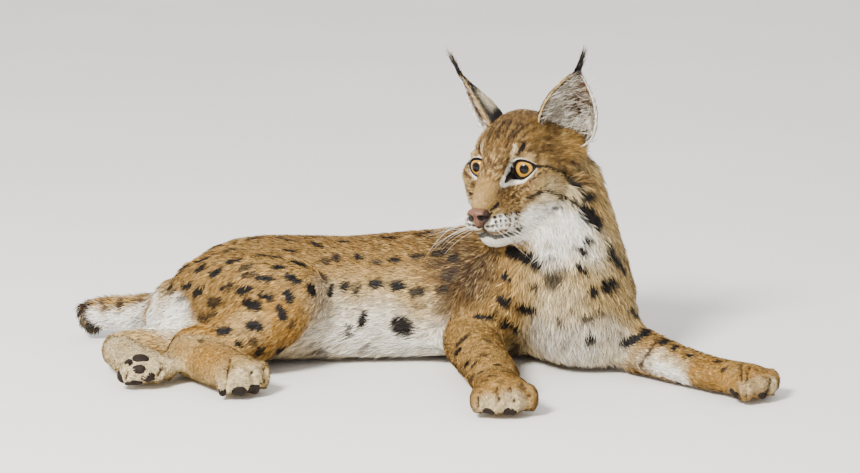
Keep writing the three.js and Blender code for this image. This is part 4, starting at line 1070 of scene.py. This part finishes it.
along_lid = normalized(np.roll(lid_line, -1, 0) - np.roll(lid_line, 1, 0))
out_of_lid = np.stack([along_lid[:, 1], -along_lid[:, 0]], -1)
lids_joined = bmesh.new()
for side in (1, -1):
    rings_made = []
    for outside, on_face, stands in LID_RINGS:
        flat = lid_line + out_of_lid * outside
        from_ball = flat - eye_flat
        off = np.linalg.norm(from_ball, axis=1, keepdims=True)
        if not on_face:
            flat = eye_flat + from_ball * np.minimum(1, (0.95 if outside < -1 else 0.985) * EYE_RADIUS / off)
            off = np.minimum(off, 0.985 * EYE_RADIUS)
        on_ball = eye_ahead + np.sqrt(np.maximum(EYE_RADIUS**2 - off[:, 0] ** 2, 0))
        ahead = np.maximum(face_ahead(flat), on_ball) if on_face else on_ball
        ahead = ahead + stands
        ring = off_eye_axis(flat, ahead) * (1, side, 1)
        rings_made.append([lids_joined.verts.new(p) for p in to_frame(from_head(ring))])
    edges = [[lids_joined.edges.new((ring[i], ring[i - 1])) for i in range(LID_SIDES)] for ring in rings_made]
    for inner_edges, outer_edges in zip(edges[:-1], edges[1:]):
        bmesh.ops.bridge_loops(lids_joined, edges=inner_edges + outer_edges)
bmesh.ops.recalc_face_normals(lids_joined, faces=lids_joined.faces)
lids = new_piece("eyelids", lids_joined)
soften = lids.modifiers.new("soft", "SUBSURF")
soften.levels = soften.render_levels = 1
apply_modifiers(lids)
lids.data.shade_smooth()


def add_cells(tree, shader, scale, strength, depth):
    """Raises small cells, as leather has them. Returns how far each place is from the middle of its cell."""
    place = add_node(tree, "TexCoord")
    cells = add_node(tree, "TexVoronoi", {"Scale": scale, "Vector": place.outputs["Object"]})
    from_middle = cells.outputs["Distance"]
    bump = add_node(tree, "Bump", {"Strength": strength, "Distance": depth, "Height": from_middle})
    tree.links.new(bump.outputs["Normal"], shader.inputs["Normal"])
    return from_middle


def leather_material(name, colour, other, scale, roughness, depth, shine=0.5):
    """Bare skin of small cells, of one tone at their middles and another between them."""
    made, tree, shader = new_material(name, {"Roughness": roughness, "Specular IOR Level": shine})
    from_middle = add_cells(tree, shader, scale, 0.5, depth)
    tone = add_node(tree, "Mix", {"Factor": from_middle, 6: (*colour, 1), 7: (*other, 1)}, data_type="RGBA")
    tree.links.new(tone.outputs[2], shader.inputs["Base Color"])
    return made


lid_finish = leather_material("bare black lid", srgb(11, 8, 6), srgb(20, 14, 11), 1800, 0.5, 0.1 * MM, 0.15)
lids.data.materials.append(lid_finish)
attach(lids, "root")

# Nose leather: the bare, damp end of the nose, with a comma-shaped nostril on each side.
# A sphere is drawn onto the form of the two wings, the top and the septum, less the nostrils.
NOSE_MIDDLE = np.array((50.0, 0.0, -45.0))
NOSE_REACH = 24  # no part of the form is this far from its middle
NOSE_PINK = srgb(108, 75, 58)
NOSE_DARK = srgb(30, 20, 17)
NOSTRIL = ((60.5, 6.6, -46.5), (7, 3.6, 3.4))
NOSTRIL_SLIT = ((57, 8.5, -46.5), (47, 14.5, -43.5), 1.9, 1.1)


def nose_form(points):
    p = one_sided(points)
    d = ball(p, (52, 7.2, -45), (8.4, 5.8, 7))
    d = blend(d, ball(p, (52, 0, -41.5), (9.5, 11, 5.8)), 3)
    d = blend(d, ball(p, (50.5, 0, -51), (8.5, 4.2, 8.5)), 3)
    d = carve(d, ball(p, *NOSTRIL), 1.6)
    return carve(d, rod(p, *NOSTRIL_SLIT), 1.2)


nose_ball = bmesh.new()
bmesh.ops.create_icosphere(nose_ball, subdivisions=6, radius=1)
rays = np.array([v.co for v in nose_ball.verts])
reach = np.zeros(len(rays))
for step in np.arange(0.5, NOSE_REACH, 0.5):
    reach = np.where((nose_form(NOSE_MIDDLE + rays * step) < 0) & (reach >= step - 0.6), step, reach)
for half in (0.25, 0.125, 0.06, 0.03):
    reach += np.where(nose_form(NOSE_MIDDLE + rays * (reach + half)[:, None]) < 0, half, 0)
nose_points = NOSE_MIDDLE + rays * reach[:, None]
for vert, p in zip(nose_ball.verts, to_frame(from_head(nose_points))):
    vert.co = p
bmesh.ops.smooth_vert(nose_ball, verts=nose_ball.verts, factor=0.5, use_axis_x=True, use_axis_y=True, use_axis_z=True)
nose = new_piece("nose_leather", nose_ball)
one_side = one_sided(nose_points)
_, side_of, up = one_side.T
pit = np.minimum(ball(one_side, NOSTRIL[0], np.array(NOSTRIL[1]) + 0.8), rod(one_side, *NOSTRIL_SLIT) - 0.9)
nose_colour = np.tile(NOSE_PINK, (len(nose_points), 1))
# the nostrils and a thin rim round them are painted dark: painted shade in their openings
for share in (
    smooth_step(0.8, -0.4, pit),
    0.9 * smooth_step(-54, -57.5, up),
    smooth_step(6, 9.5, side_of) * smooth_step(-46, -49, up),
    0.85 * smooth_step(7.5, 10.5, side_of),
    0.5 * smooth_step(0.9, 0.3, side_of) * smooth_step(-38, -42, up),
):
    nose_colour = mix(nose_colour, NOSE_DARK, share)
paint(nose.data, nose_colour)
nose_finish = coat_material("damp nose leather", 0.38, 0.85)
tree = nose_finish.node_tree
add_cells(tree, tree.nodes["Principled BSDF"], 1100, 0.6, 0.3 * MM)
nose.data.materials.append(nose_finish)
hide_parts("nose")
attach(nose, "root")

# Pads: bare, thick, dark skin under the toes, and on the sole of the left hind foot that is turned up.
# Each is a flat cushion that lies on the skin at the place of its packed pad, as wide and high as the photograph
# shows it.
# middle of each pad and its half-width and half-height, in pixels of the photograph
PAD_PIXELS = [
    (140.6, 358.5, 8.5, 4), (128.5, 362.7, 4.2, 4.2), (139.5, 369, 7, 5), (148.7, 377.2, 7.2, 5),
    (121.6, 380.5, 5.4, 5), (135.5, 383, 9, 5), (221.8, 395, 4.4, 4.5), (240.3, 393, 9, 6.5), (255.8, 391, 7.2, 8),
    (491, 417, 6, 3), (513, 416.5, 6.5, 4), (734.4, 395.5, 5, 3.5), (762, 395.5, 4.5, 3.5),
]
PAD_THICK, PAD_STRETCH, PAD_LIFT = 2.6, 1.5, 0.4
PAD_STRAYS = 14  # a pad whose pixel falls further off than this goes to the skin nearest its packed pad
pad_finish = leather_material("dark pad skin", srgb(22, 16, 13), srgb(40, 30, 24), 700, 0.65, 0.5 * MM, 0.15)


def pixel_of(point):
    away = np.asarray(point, float) - camera_place
    right, up = FOCAL_PIXELS * np.array((away[0], away @ sight_up)) / (away @ sight)
    return PHOTO_WIDE / 2 + right, PHOTO_HIGH / 2 - up


pad_places = []
soft_normals = relax(skin_normals, 8)
for name in sorted(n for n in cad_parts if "_pad_" in n):
    low, high = (np.array(corner) / MM - plan_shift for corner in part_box(name))
    middle = (low + high) / 2
    shown = pixel_of(middle)
    px, py, half_wide, half_high = min(PAD_PIXELS, key=lambda pad: np.hypot(pad[0] - shown[0], pad[1] - shown[1]))
    hit = cast(px, py)
    if hit is None or np.linalg.norm(hit - middle) > PAD_STRAYS:
        hit = np.array(skin_tree.find_nearest(middle)[0])
    face = skin_tree.find_nearest(hit)[2]
    out = normalized(soft_normals[skin_faces[face]].mean(0))
    across = normalized(np.array((1.0, 0, 0)) - out * out[0])
    over = np.cross(out, across)
    half = np.array((half_wide, half_high)) * MM_A_PIXEL
    half[0] *= min(1 / abs(across[0]), PAD_STRETCH)
    half[1] *= min(1 / max(abs(over @ sight_up), 0.1), PAD_STRETCH)
    pad_places.append((hit, across, over, out, half))
    cushion = bmesh.new()
    bmesh.ops.create_icosphere(cushion, subdivisions=4, radius=1)
    for vert in cushion.verts:
        x, y, z = vert.co
        p = skin_tree.find_nearest(hit + across * x * half[0] + over * y * half[1])[0]
        vert.co = to_frame(np.array(p) + out * (PAD_LIFT + z * PAD_THICK))
        vert.co.z = max(vert.co.z, 0.5 * MM)
    made = new_piece(name + "_skin", cushion)
    made.data.materials.append(pad_finish)
    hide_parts(name)
    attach(made, "root")

# Coat: every hair is a thin tapered strip of mesh, set in the skin in tufts of a few that lean with its lie.
# Its length, lean and thickness change over the body, from short on the face and feet to long on the chest.
COAT_TUFTS, HAIRS_A_TUFT, TUFTS_A_PIECE = 150000, 3, 22000
TUFT_PATCH = 0.003  # side of a tuft's patch on the map
TICKING = 0.27  # how much the tufts differ in tone, as banded hair does
HAIR_SUNK = 0.8
FLOOR_CLEAR = 0.4
# for each part: which way the hair lies, its length in mm, how far it stands off (as a slope), its width in mm
COAT = {
    "torso": ((-1, 0, -0.16), 11, 0.24, 0.7), "chest": ((0.05, -0.1, -1), 16, 0.26, 0.7),
    "neck": ((0.2, 0.05, -1), 15, 0.26, 0.7), "head": ((0, 0, -1), 6.5, 0.25, 0.5),
    "tail": ((-1, 0.5, -0.2), 15, 0.35, 0.8), "tail_tip": ((-0.2, 0, -1), 12, 0.3, 0.8),
    "fore_right_upper": ((-0.45, -0.5, -0.8), 13, 0.24, 0.85), "fore_right_lower": ((0.1, -1, -0.1), 8, 0.24, 0.7),
    "fore_right_paw": ((0.05, -1, -0.15), 4.5, 0.3, 0.5), "fore_left_upper": ((0.3, -0.75, -0.65), 14, 0.26, 0.85),
    "fore_left_lower": ((0.72, -0.68, -0.08), 9, 0.26, 0.7), "fore_left_paw": ((0.76, -0.65, -0.1), 4.5, 0.3, 0.5),
    "hind_right_upper": ((-0.85, -0.1, -0.5), 10.5, 0.24, 0.75),
    "hind_right_lower": ((-0.85, -0.25, -0.45), 9, 0.24, 0.75),
    "hind_right_paw": ((0.6, -0.8, -0.05), 5, 0.3, 0.5), "hind_left_upper": ((-1, -0.2, -0.3), 12, 0.26, 0.85),
    "hind_left_lower": ((-0.97, -0.22, 0), 10, 0.28, 0.8), "hind_left_paw": ((0.42, -0.9, 0), 5.5, 0.3, 0.55),
}

# the lie of the coat over the skin: along each part, and on the head away from the nose
COAT_PARTING = (58, 0, -40)  # the place on the nose that the hair of the head runs away from
lie = sum(share_of[r][:, None] * np.array(COAT[r][0], float) for r in regions)
from_nose = normalized(skin_points - from_head(COAT_PARTING))
local = to_head(skin_points)
head_lie = from_nose + np.array((0, 0, -0.5)) * smooth_step(0, -60, local[:, 0])[:, None]
lie += share_of["head"][:, None] * (head_lie - np.array(COAT["head"][0]))
lie = relax(lie, 10)
lie = normalized(lie - skin_normals * np.sum(lie * skin_normals, 1, keepdims=True))
long = relax(sum(share_of[r] * COAT[r][1] for r in regions), 6)
lean = sum(share_of[r] * COAT[r][2] for r in regions)
wide = sum(share_of[r] * COAT[r][3] for r in regions)
on_head = share_of["head"]
ahead, outward, up = one_sided(local).T
long += 4 * smooth_step(46, 28, np.linalg.norm(one_sided(local) - np.array((-70, 46, 26)), axis=1)) * on_head  # ears
long *= 1 - 0.5 * smooth_step(0, 30, ahead) * on_head  # muzzle
cheek = on_head * smooth_step(-5, -40, ahead) * smooth_step(12, -30, up) * smooth_step(15, 40, outward)
long += 8 * cheek
lean += 0.1 * cheek
jaw = on_head * smooth_step(15, -25, ahead) * smooth_step(-45, -65, up) * smooth_step(8, 25, outward)
long += 6 * jaw * (1 - cheek)
belly = share_of["torso"] * smooth_step(60, 25, skin_points[:, 2]) * smooth_step(0.2, -0.2, skin_normals @ sight)
long += 8 * belly
long[skin_points[:, 2] < 6] *= 0.5

rim = lid_distance(local)
close_in = on_head * smooth_step(14, 2, rim)
long *= 1 - 0.55 * close_in
wide *= 1 - 0.3 * close_in
bare = (rim < 1.1) | (nose_form(local) < 1.2)
for hit, across, over, out, half in pad_places:
    off = skin_points - hit
    bare |= (np.hypot(off @ across / half[0], off @ over / half[1]) < 0.92) & (np.abs(off @ out) < 7)
bare |= skin_points[:, 2] < 1.0


def sample(surface, count, seed):
    """Roots drawn evenly over a surface by its density, with what each vertex carries mixed at them."""
    dice = np.random.default_rng(seed)
    points, faces = surface["points"], surface["faces"]
    a, b, c = (points[faces[:, i]] for i in range(3))
    area = np.linalg.norm(np.cross(b - a, c - a), axis=1) / 2
    chance = area * surface["density"][faces].mean(1)
    chosen = np.sort(dice.choice(len(faces), count, p=chance / chance.sum()))
    u, v = dice.random((2, count))
    u, v = np.where(u + v > 1, (1 - u, 1 - v), (u, v))
    weights = np.stack([1 - u - v, u, v], -1)
    at = {key: (surface[key][faces[chosen]] * weights.reshape(count, 3, *[1] * (surface[key].ndim - 1))).sum(1)
          for key in ("points", "normals", "lie", "long", "lean", "wide", *surface["carried"])}
    at["uv"] = (surface["uv"][chosen] * weights[:, :, None]).sum(1)
    return at


def grow(name, roots, colour, seed, splay=0.2):
    """One piece of coat: tufts of thin strips from their roots, coloured by tuft."""
    dice = np.random.default_rng(seed)
    count, hairs = len(roots["points"]), HAIRS_A_TUFT
    n = normalized(roots["normals"])
    t = normalized(roots["lie"] - n * np.sum(roots["lie"] * n, 1, keepdims=True))
    s = np.cross(n, t)
    spin = dice.normal(0, splay, (count, hairs)) + dice.normal(0, splay * 0.8, (count, 1))
    long = roots["long"][:, None] * dice.uniform(0.7, 1.15, (count, hairs))
    lean = np.clip(roots["lean"][:, None] + dice.normal(0, 0.07, (count, hairs)), 0.05, None)
    wide = roots["wide"][:, None] * dice.uniform(0.8, 1.2, (count, hairs))
    along = t[:, None] * np.cos(spin)[..., None] + s[:, None] * np.sin(spin)[..., None]
    side = np.cross(n[:, None], along)
    roll = dice.normal(0, 0.5, (count, hairs))[..., None]
    blade = side * np.cos(roll) + n[:, None] * np.sin(roll)
    aside = side * dice.uniform(-1, 1, (count, hairs))[..., None] * wide[..., None]
    root = roots["points"][:, None] - n[:, None] * HAIR_SUNK + aside
    middle = root + (along + n[:, None] * (lean * 1.5)[..., None]) * (long * 0.5)[..., None]
    tip = middle + (along + n[:, None] * (lean * 0.45)[..., None]) * (long * 0.5)[..., None]
    half = blade * (wide / 2)[..., None]
    verts = np.stack([root - half * 0.8, root + half * 0.8, middle - half, middle + half, tip], 2).reshape(-1, 3)
    verts[:, 2] = np.maximum(verts[:, 2], FLOOR_CLEAR)
    start = np.arange(count * hairs)[:, None, None] * 5
    faces = (start + np.array([[0, 3, 1], [0, 2, 3], [2, 4, 3]])).reshape(-1, 3)
    mesh = bpy.data.meshes.new(name)
    mesh.vertices.add(len(verts))
    mesh.vertices.foreach_set("co", to_frame(verts).astype(np.float32).ravel())
    mesh.loops.add(faces.size)
    mesh.loops.foreach_set("vertex_index", faces.astype(np.int32).ravel())
    mesh.polygons.add(len(faces))
    mesh.polygons.foreach_set("loop_start", np.arange(0, faces.size, 3, dtype=np.int32))
    mesh.polygons.foreach_set("loop_total", np.full(len(faces), 3, np.int32))
    mesh.polygons.foreach_set("use_smooth", np.ones(len(faces), bool))
    mesh.update()
    # the shading of each strip follows the body under it, turned a little by its own roll
    shown = normalized(n[:, None] - 0.8 * np.sin(roll) * side + 0.25 * along)
    shown = np.repeat(shown.reshape(-1, 3), 5, 0)
    mesh.normals_split_custom_set_from_vertices(shown.astype(np.float32))
    shade = np.exp(dice.normal(0, 0.18, (count, hairs, 1)) + dice.normal(0, TICKING, (count, 1, 1)))
    tone = colour[:, None] * shade
    # the roots of each strip are painted darker, a painted shade deep in the coat that is deeper for long hair; the
    # tips are a little lighter
    dark = 0.85 - 0.35 * smooth_step(6, 15, roots["long"])[:, None, None]
    tones = np.stack([tone * dark, tone * dark, tone * 0.95, tone * 0.95, tone * 1.12], 2).reshape(-1, 3)
    paint(mesh, np.clip(tones, 0, 1))
    # each tuft is a small patch of the map at its root's place on the skin
    patch = np.array([(-1, -1), (1, -1), (-1, 0), (1, 0), (0, 1)]) * TUFT_PATCH / 2
    corners = (roots["uv"][:, None, None] + patch).repeat(hairs, 1).reshape(-1, 2)
    layer = mesh.uv_layers.new(name="OFBake")
    layer.uv.foreach_set("vector", corners[faces.ravel()].astype(np.float32).ravel())
    piece = bpy.data.objects.new(name, mesh)
    bpy.context.scene.collection.objects.link(piece)
    mesh.materials.append(hair_finish)
    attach(piece, "root")


hair_finish = coat_material("guard hair", 0.6, 0.9)
skin_surface = dict(
    points=skin_points, faces=skin_faces, normals=skin_normals, lie=lie, long=long, lean=lean, wide=wide, uv=skin_uv,
    density=np.where(bare, 0, 1 / (long * wide)), carried=("shares",),
    shares=np.stack([share_of[r] for r in regions], -1),
)
roots = sample(skin_surface, COAT_TUFTS, 11)
stray = np.stack([spread_noise(roots["points"], 22, seed) for seed in (21, 22, 23)], -1)
roots["lie"] = normalized(roots["lie"]) + 0.12 * stray
shown_at = roots["points"] + normalized(roots["lie"]) * (roots["long"] * 0.5)[:, None]
shown_at = np.array([skin_tree.find_nearest(p)[0] for p in shown_at])
tuft_colour = coat_colour(shown_at, dict(zip(regions, roots["shares"].T)), normalized(roots["normals"]))
COAT_GROUPS = {
    "head": ("head",), "neck": ("neck",), "chest": ("chest",), "body": ("torso",), "tail": ("tail", "tail_tip"),
    "forelegs": tuple(r for r in regions if r.startswith("fore_")),
    "hindlegs": tuple(r for r in regions if r.startswith("hind_")),
}
belongs = np.array(regions)[np.argmax(roots["shares"], 1)]
for group, members in COAT_GROUPS.items():
    mine = np.flatnonzero(np.isin(belongs, members))
    mine = mine[np.argsort(roots["points"][mine, 0], kind="stable")]
    parts = max(int(np.ceil(len(mine) / TUFTS_A_PIECE)), 1)
    for k, chosen in enumerate(np.array_split(mine, parts)):
        their_roots = {key: value[chosen] for key, value in roots.items()}
        grow(f"coat_{group}_{k + 1}", their_roots, tuft_colour[chosen], 100 + k)

# Coat of the ears: short dense hair on their backs and rims, and long pale wisps in their hollows.
# It grows from the cups as the coat grows from the skin. The wisps of the near ear lean across its hollow from its
# inner side, and those of the far one are short.
EAR_TUFTS = 9000
EAR_WISPS, WISP_WIDE = 1700, 0.42
ear_starts = np.cumsum([0] + [len(part["points"]) for part in ear_parts.values()])
ear_faces = np.concatenate([part["faces"] + start for part, start in zip(ear_parts.values(), ear_starts)])
ear_rise, ear_inward = (
    np.concatenate([
        np.tile(ear_axes(side, turn, rise)[axis] @ head_axes, (len(ear_parts[name]["points"]), 1))
        for name, (side, root, turn, rise) in EAR_SHAPES.items()
    ])
    for axis in (0, 2)
)
ear_uv = unwrap(ears, 0.01)
rim = smooth_step(0.82, 1, np.abs(ear_angle) / EAR_WRAP)
lined = 0.15 + rim + 0.6 * smooth_step(0.4, 0.7, ear_angle / EAR_WRAP)
ear_surface_of = dict(
    points=ear_points, faces=ear_faces, normals=ear_normals, uv=ear_uv,
    lie=ear_rise + 0.25 * rim[:, None] * np.sign(ear_angle)[:, None] * ear_inward,
    long=5 - rim, lean=0.2 - 0.1 * rim, wide=np.full(len(ear_points), 0.5),
    density=np.where(ear_hollow, lined, 1.0) * (ear_height > -0.1), carried=("tint",), tint=ear_tint,
)
roots = sample(ear_surface_of, EAR_TUFTS, 31)
grow("coat_ears", roots, roots["tint"], 32)
in_hollow = 0.12 + smooth_step(0.1, 0.6, ear_angle / EAR_WRAP) + 0.3 * smooth_step(0.4, 0.1, ear_height)
far_ear = np.arange(len(ear_points)) >= ear_starts[1]
wisps = dict(ear_surface_of)
wisps.update(
    lie=np.where(far_ear[:, None], ear_rise - 0.1 * ear_inward, 0.75 * ear_rise - 0.65 * ear_inward),
    long=np.where(far_ear, 9.0, 18.0), lean=np.where(far_ear, 0.2, 0.5), wide=np.full(len(ear_points), WISP_WIDE),
    density=ear_hollow * in_hollow * smooth_step(-0.1, 0.05, ear_height) * smooth_step(0.95, 0.75, ear_height),
)
roots = sample(wisps, EAR_WISPS, 33)
wisp_dice = np.random.default_rng(34)
wisp_colour = mix(np.tile(WHITE, (EAR_WISPS, 1)), GREY_CREAM, wisp_dice.random(EAR_WISPS) ** 0.7)
wisp_colour = mix(wisp_colour, UMBER, 0.75 * (wisp_dice.random(EAR_WISPS) < 0.4))
grow("coat_ear_wisps", roots, wisp_colour, 35, splay=0.3)

# Ear tufts: a brush of long black hair on the tip of each ear, some of it with pale ends.
# Each hair is a tapered three-sided strand that starts on the last of the ear's rim and is gathered to a point.
TUFT_LONG, TUFT_HAIRS, TUFT_STEPS = 33, 220, 6
TUFT_THICK = 0.7
STRAND_SIDES = 3


def strands(name, paths, thick, colours, finish):
    """Tapered strands along paths of equal point counts: (count, points, 3), in mm."""
    count, steps = paths.shape[:2]
    along = normalized(np.gradient(paths, axis=1))
    across = normalized(np.cross(along, np.array((0.3, 0.5, 0.81))))
    over = np.cross(along, across)
    taper = thick[:, None] / 2 * np.linspace(1, 0.12, steps) ** 0.8
    phase = np.arange(STRAND_SIDES) * 2 * pi / STRAND_SIDES
    rings = paths[:, :, None] + taper[:, :, None, None] * (
        across[:, :, None] * np.cos(phase)[:, None] + over[:, :, None] * np.sin(phase)[:, None]
    )
    verts = rings.reshape(-1, 3)
    face_list = []
    for low in range(0, (steps - 1) * STRAND_SIDES, STRAND_SIDES):
        for i in range(STRAND_SIDES):
            j, high = (i + 1) % STRAND_SIDES, low + STRAND_SIDES
            face_list += [(low + i, low + j, high + j), (low + i, high + j, high + i)]
    face_list += [(0, 2, 1), tuple((steps - 1) * STRAND_SIDES + np.array((0, 1, 2)))]
    faces = (np.arange(count)[:, None, None] * steps * STRAND_SIDES + np.array(face_list)).reshape(-1, 3)
    mesh = bpy.data.meshes.new(name)
    mesh.from_pydata(to_frame(verts).tolist(), [], faces.tolist())
    mesh.shade_smooth()
    paint(mesh, np.repeat(colours.reshape(-1, 3), STRAND_SIDES, 0))
    piece = bpy.data.objects.new(name, mesh)
    bpy.context.scene.collection.objects.link(piece)
    mesh.materials.append(finish)
    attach(piece, "root")
    return piece


dice = np.random.default_rng(41)
tuft_paths, tuft_tones = [], []
for name, (side, root, turn, rise) in EAR_SHAPES.items():
    rise, open_way, inward = ear_axes(side, turn, rise)
    tip = np.array(root) + rise * EAR_TALL
    for _ in range(TUFT_HAIRS):
        start = tip + rise * dice.uniform(-11, 1) + inward * dice.normal(0, 1.6) + open_way * dice.normal(0, 1)
        reach = TUFT_LONG * dice.uniform(0.45, 1.0)
        drift = inward * dice.normal(0, 1.6) + open_way * dice.normal(0, 1.6) - np.array((2.5, 0, 0)) + inward * -1.5
        steps = np.linspace(0, 1, TUFT_STEPS)[:, None]
        gather = (tip + rise * 12 - start) * 0.5
        gather = (gather - rise * (gather @ rise)) * (steps * 2).clip(0, 1)
        line = start + rise * steps * reach + drift * steps**2 + gather
        tuft_paths.append(from_head(line))
        pale = dice.random() < 0.3
        tuft_tones.append([BLACK + (GREY_CREAM - BLACK) * (max(t - 0.55, 0) * 1.6 if pale else 0) for t in steps[:, 0]])
tuft_finish = coat_material("ear tuft hair", 0.5, 0.9)
tuft_thick = np.full(len(tuft_paths), TUFT_THICK)
strands("ear_tufts", np.array(tuft_paths), tuft_thick, np.array(tuft_tones), tuft_finish)

# Whiskers: stiff white hairs that stand out and bend back from the dark dots of the whisker pads.
# Each is one strand set 2 mm into its dot, on both sides of the muzzle.
WHISKER_LONG, WHISKER_STEPS = (46, 92), 10
WHISKER_THICK, WHISKER_SET = 0.4, 2
WHISKERS_LOST = 0.25  # share of the dots with no long hair
whisker_paths = []
for root in whisker_roots:
    base = one_sided([to_head(root)])[0]
    for side in (1, -1):
        if dice.random() < WHISKERS_LOST:
            continue
        reach = dice.uniform(*WHISKER_LONG) * (0.7 + 0.3 * smooth_step(42, 20, base[0]))
        out = normalized(np.array((0.25 + dice.normal(0, 0.12), 0.9, -0.25 + dice.normal(0, 0.14))))
        bend = np.array((-0.62, 0.0, -0.42 + dice.normal(0, 0.1)))
        steps = np.linspace(0, 1, WHISKER_STEPS)[:, None]
        line = base - out * WHISKER_SET + out * steps * reach + bend * steps**2 * reach * 0.62
        whisker_paths.append(from_head(line * (1, side, 1)))
whisker_finish = coat_material("whisker", 0.35, 0.95)
whisker_tone = np.tile(WHITE, (len(whisker_paths), WHISKER_STEPS, 1))
whisker_thick = np.full(len(whisker_paths), WHISKER_THICK)
whiskers = strands("whiskers", np.array(whisker_paths), whisker_thick, whisker_tone, whisker_finish)

# Floor and light: a plain pale floor under an even pale sky, neither of them part of the animal.
# One round lamp at the front left, above the camera, gives a soft shadow to the right.
ground = bmesh.new()
bmesh.ops.create_grid(ground, x_segments=1, y_segments=1, size=12)
floor = new_piece("floor", ground)
floor_finish = leather_material("pale floor", srgb(238, 237, 234), srgb(232, 231, 228), 3, 0.9, 0.1 * MM)
floor.data.materials.append(floor_finish)
world = bpy.data.worlds.new("studio")
bpy.context.scene.world = world
world.use_nodes = True
world.node_tree.nodes["Background"].inputs["Color"].default_value = (1, 0.985, 0.96, 1)
world.node_tree.nodes["Background"].inputs["Strength"].default_value = 1.25
lamp = bpy.data.objects.new("key", bpy.data.lights.new("key", "AREA"))
lamp.data.shape = "DISK"
lamp.data.size = 0.9
lamp.data.energy = 290
lamp.data.color = (1, 0.97, 0.92)
lamp.location = (-1.5, -2.2, 2.4)
lamp.rotation_euler = (Vector((0, 0, 0.1)) - lamp.location).to_track_quat("-Z", "Y").to_euler()
bpy.context.scene.collection.objects.link(lamp)
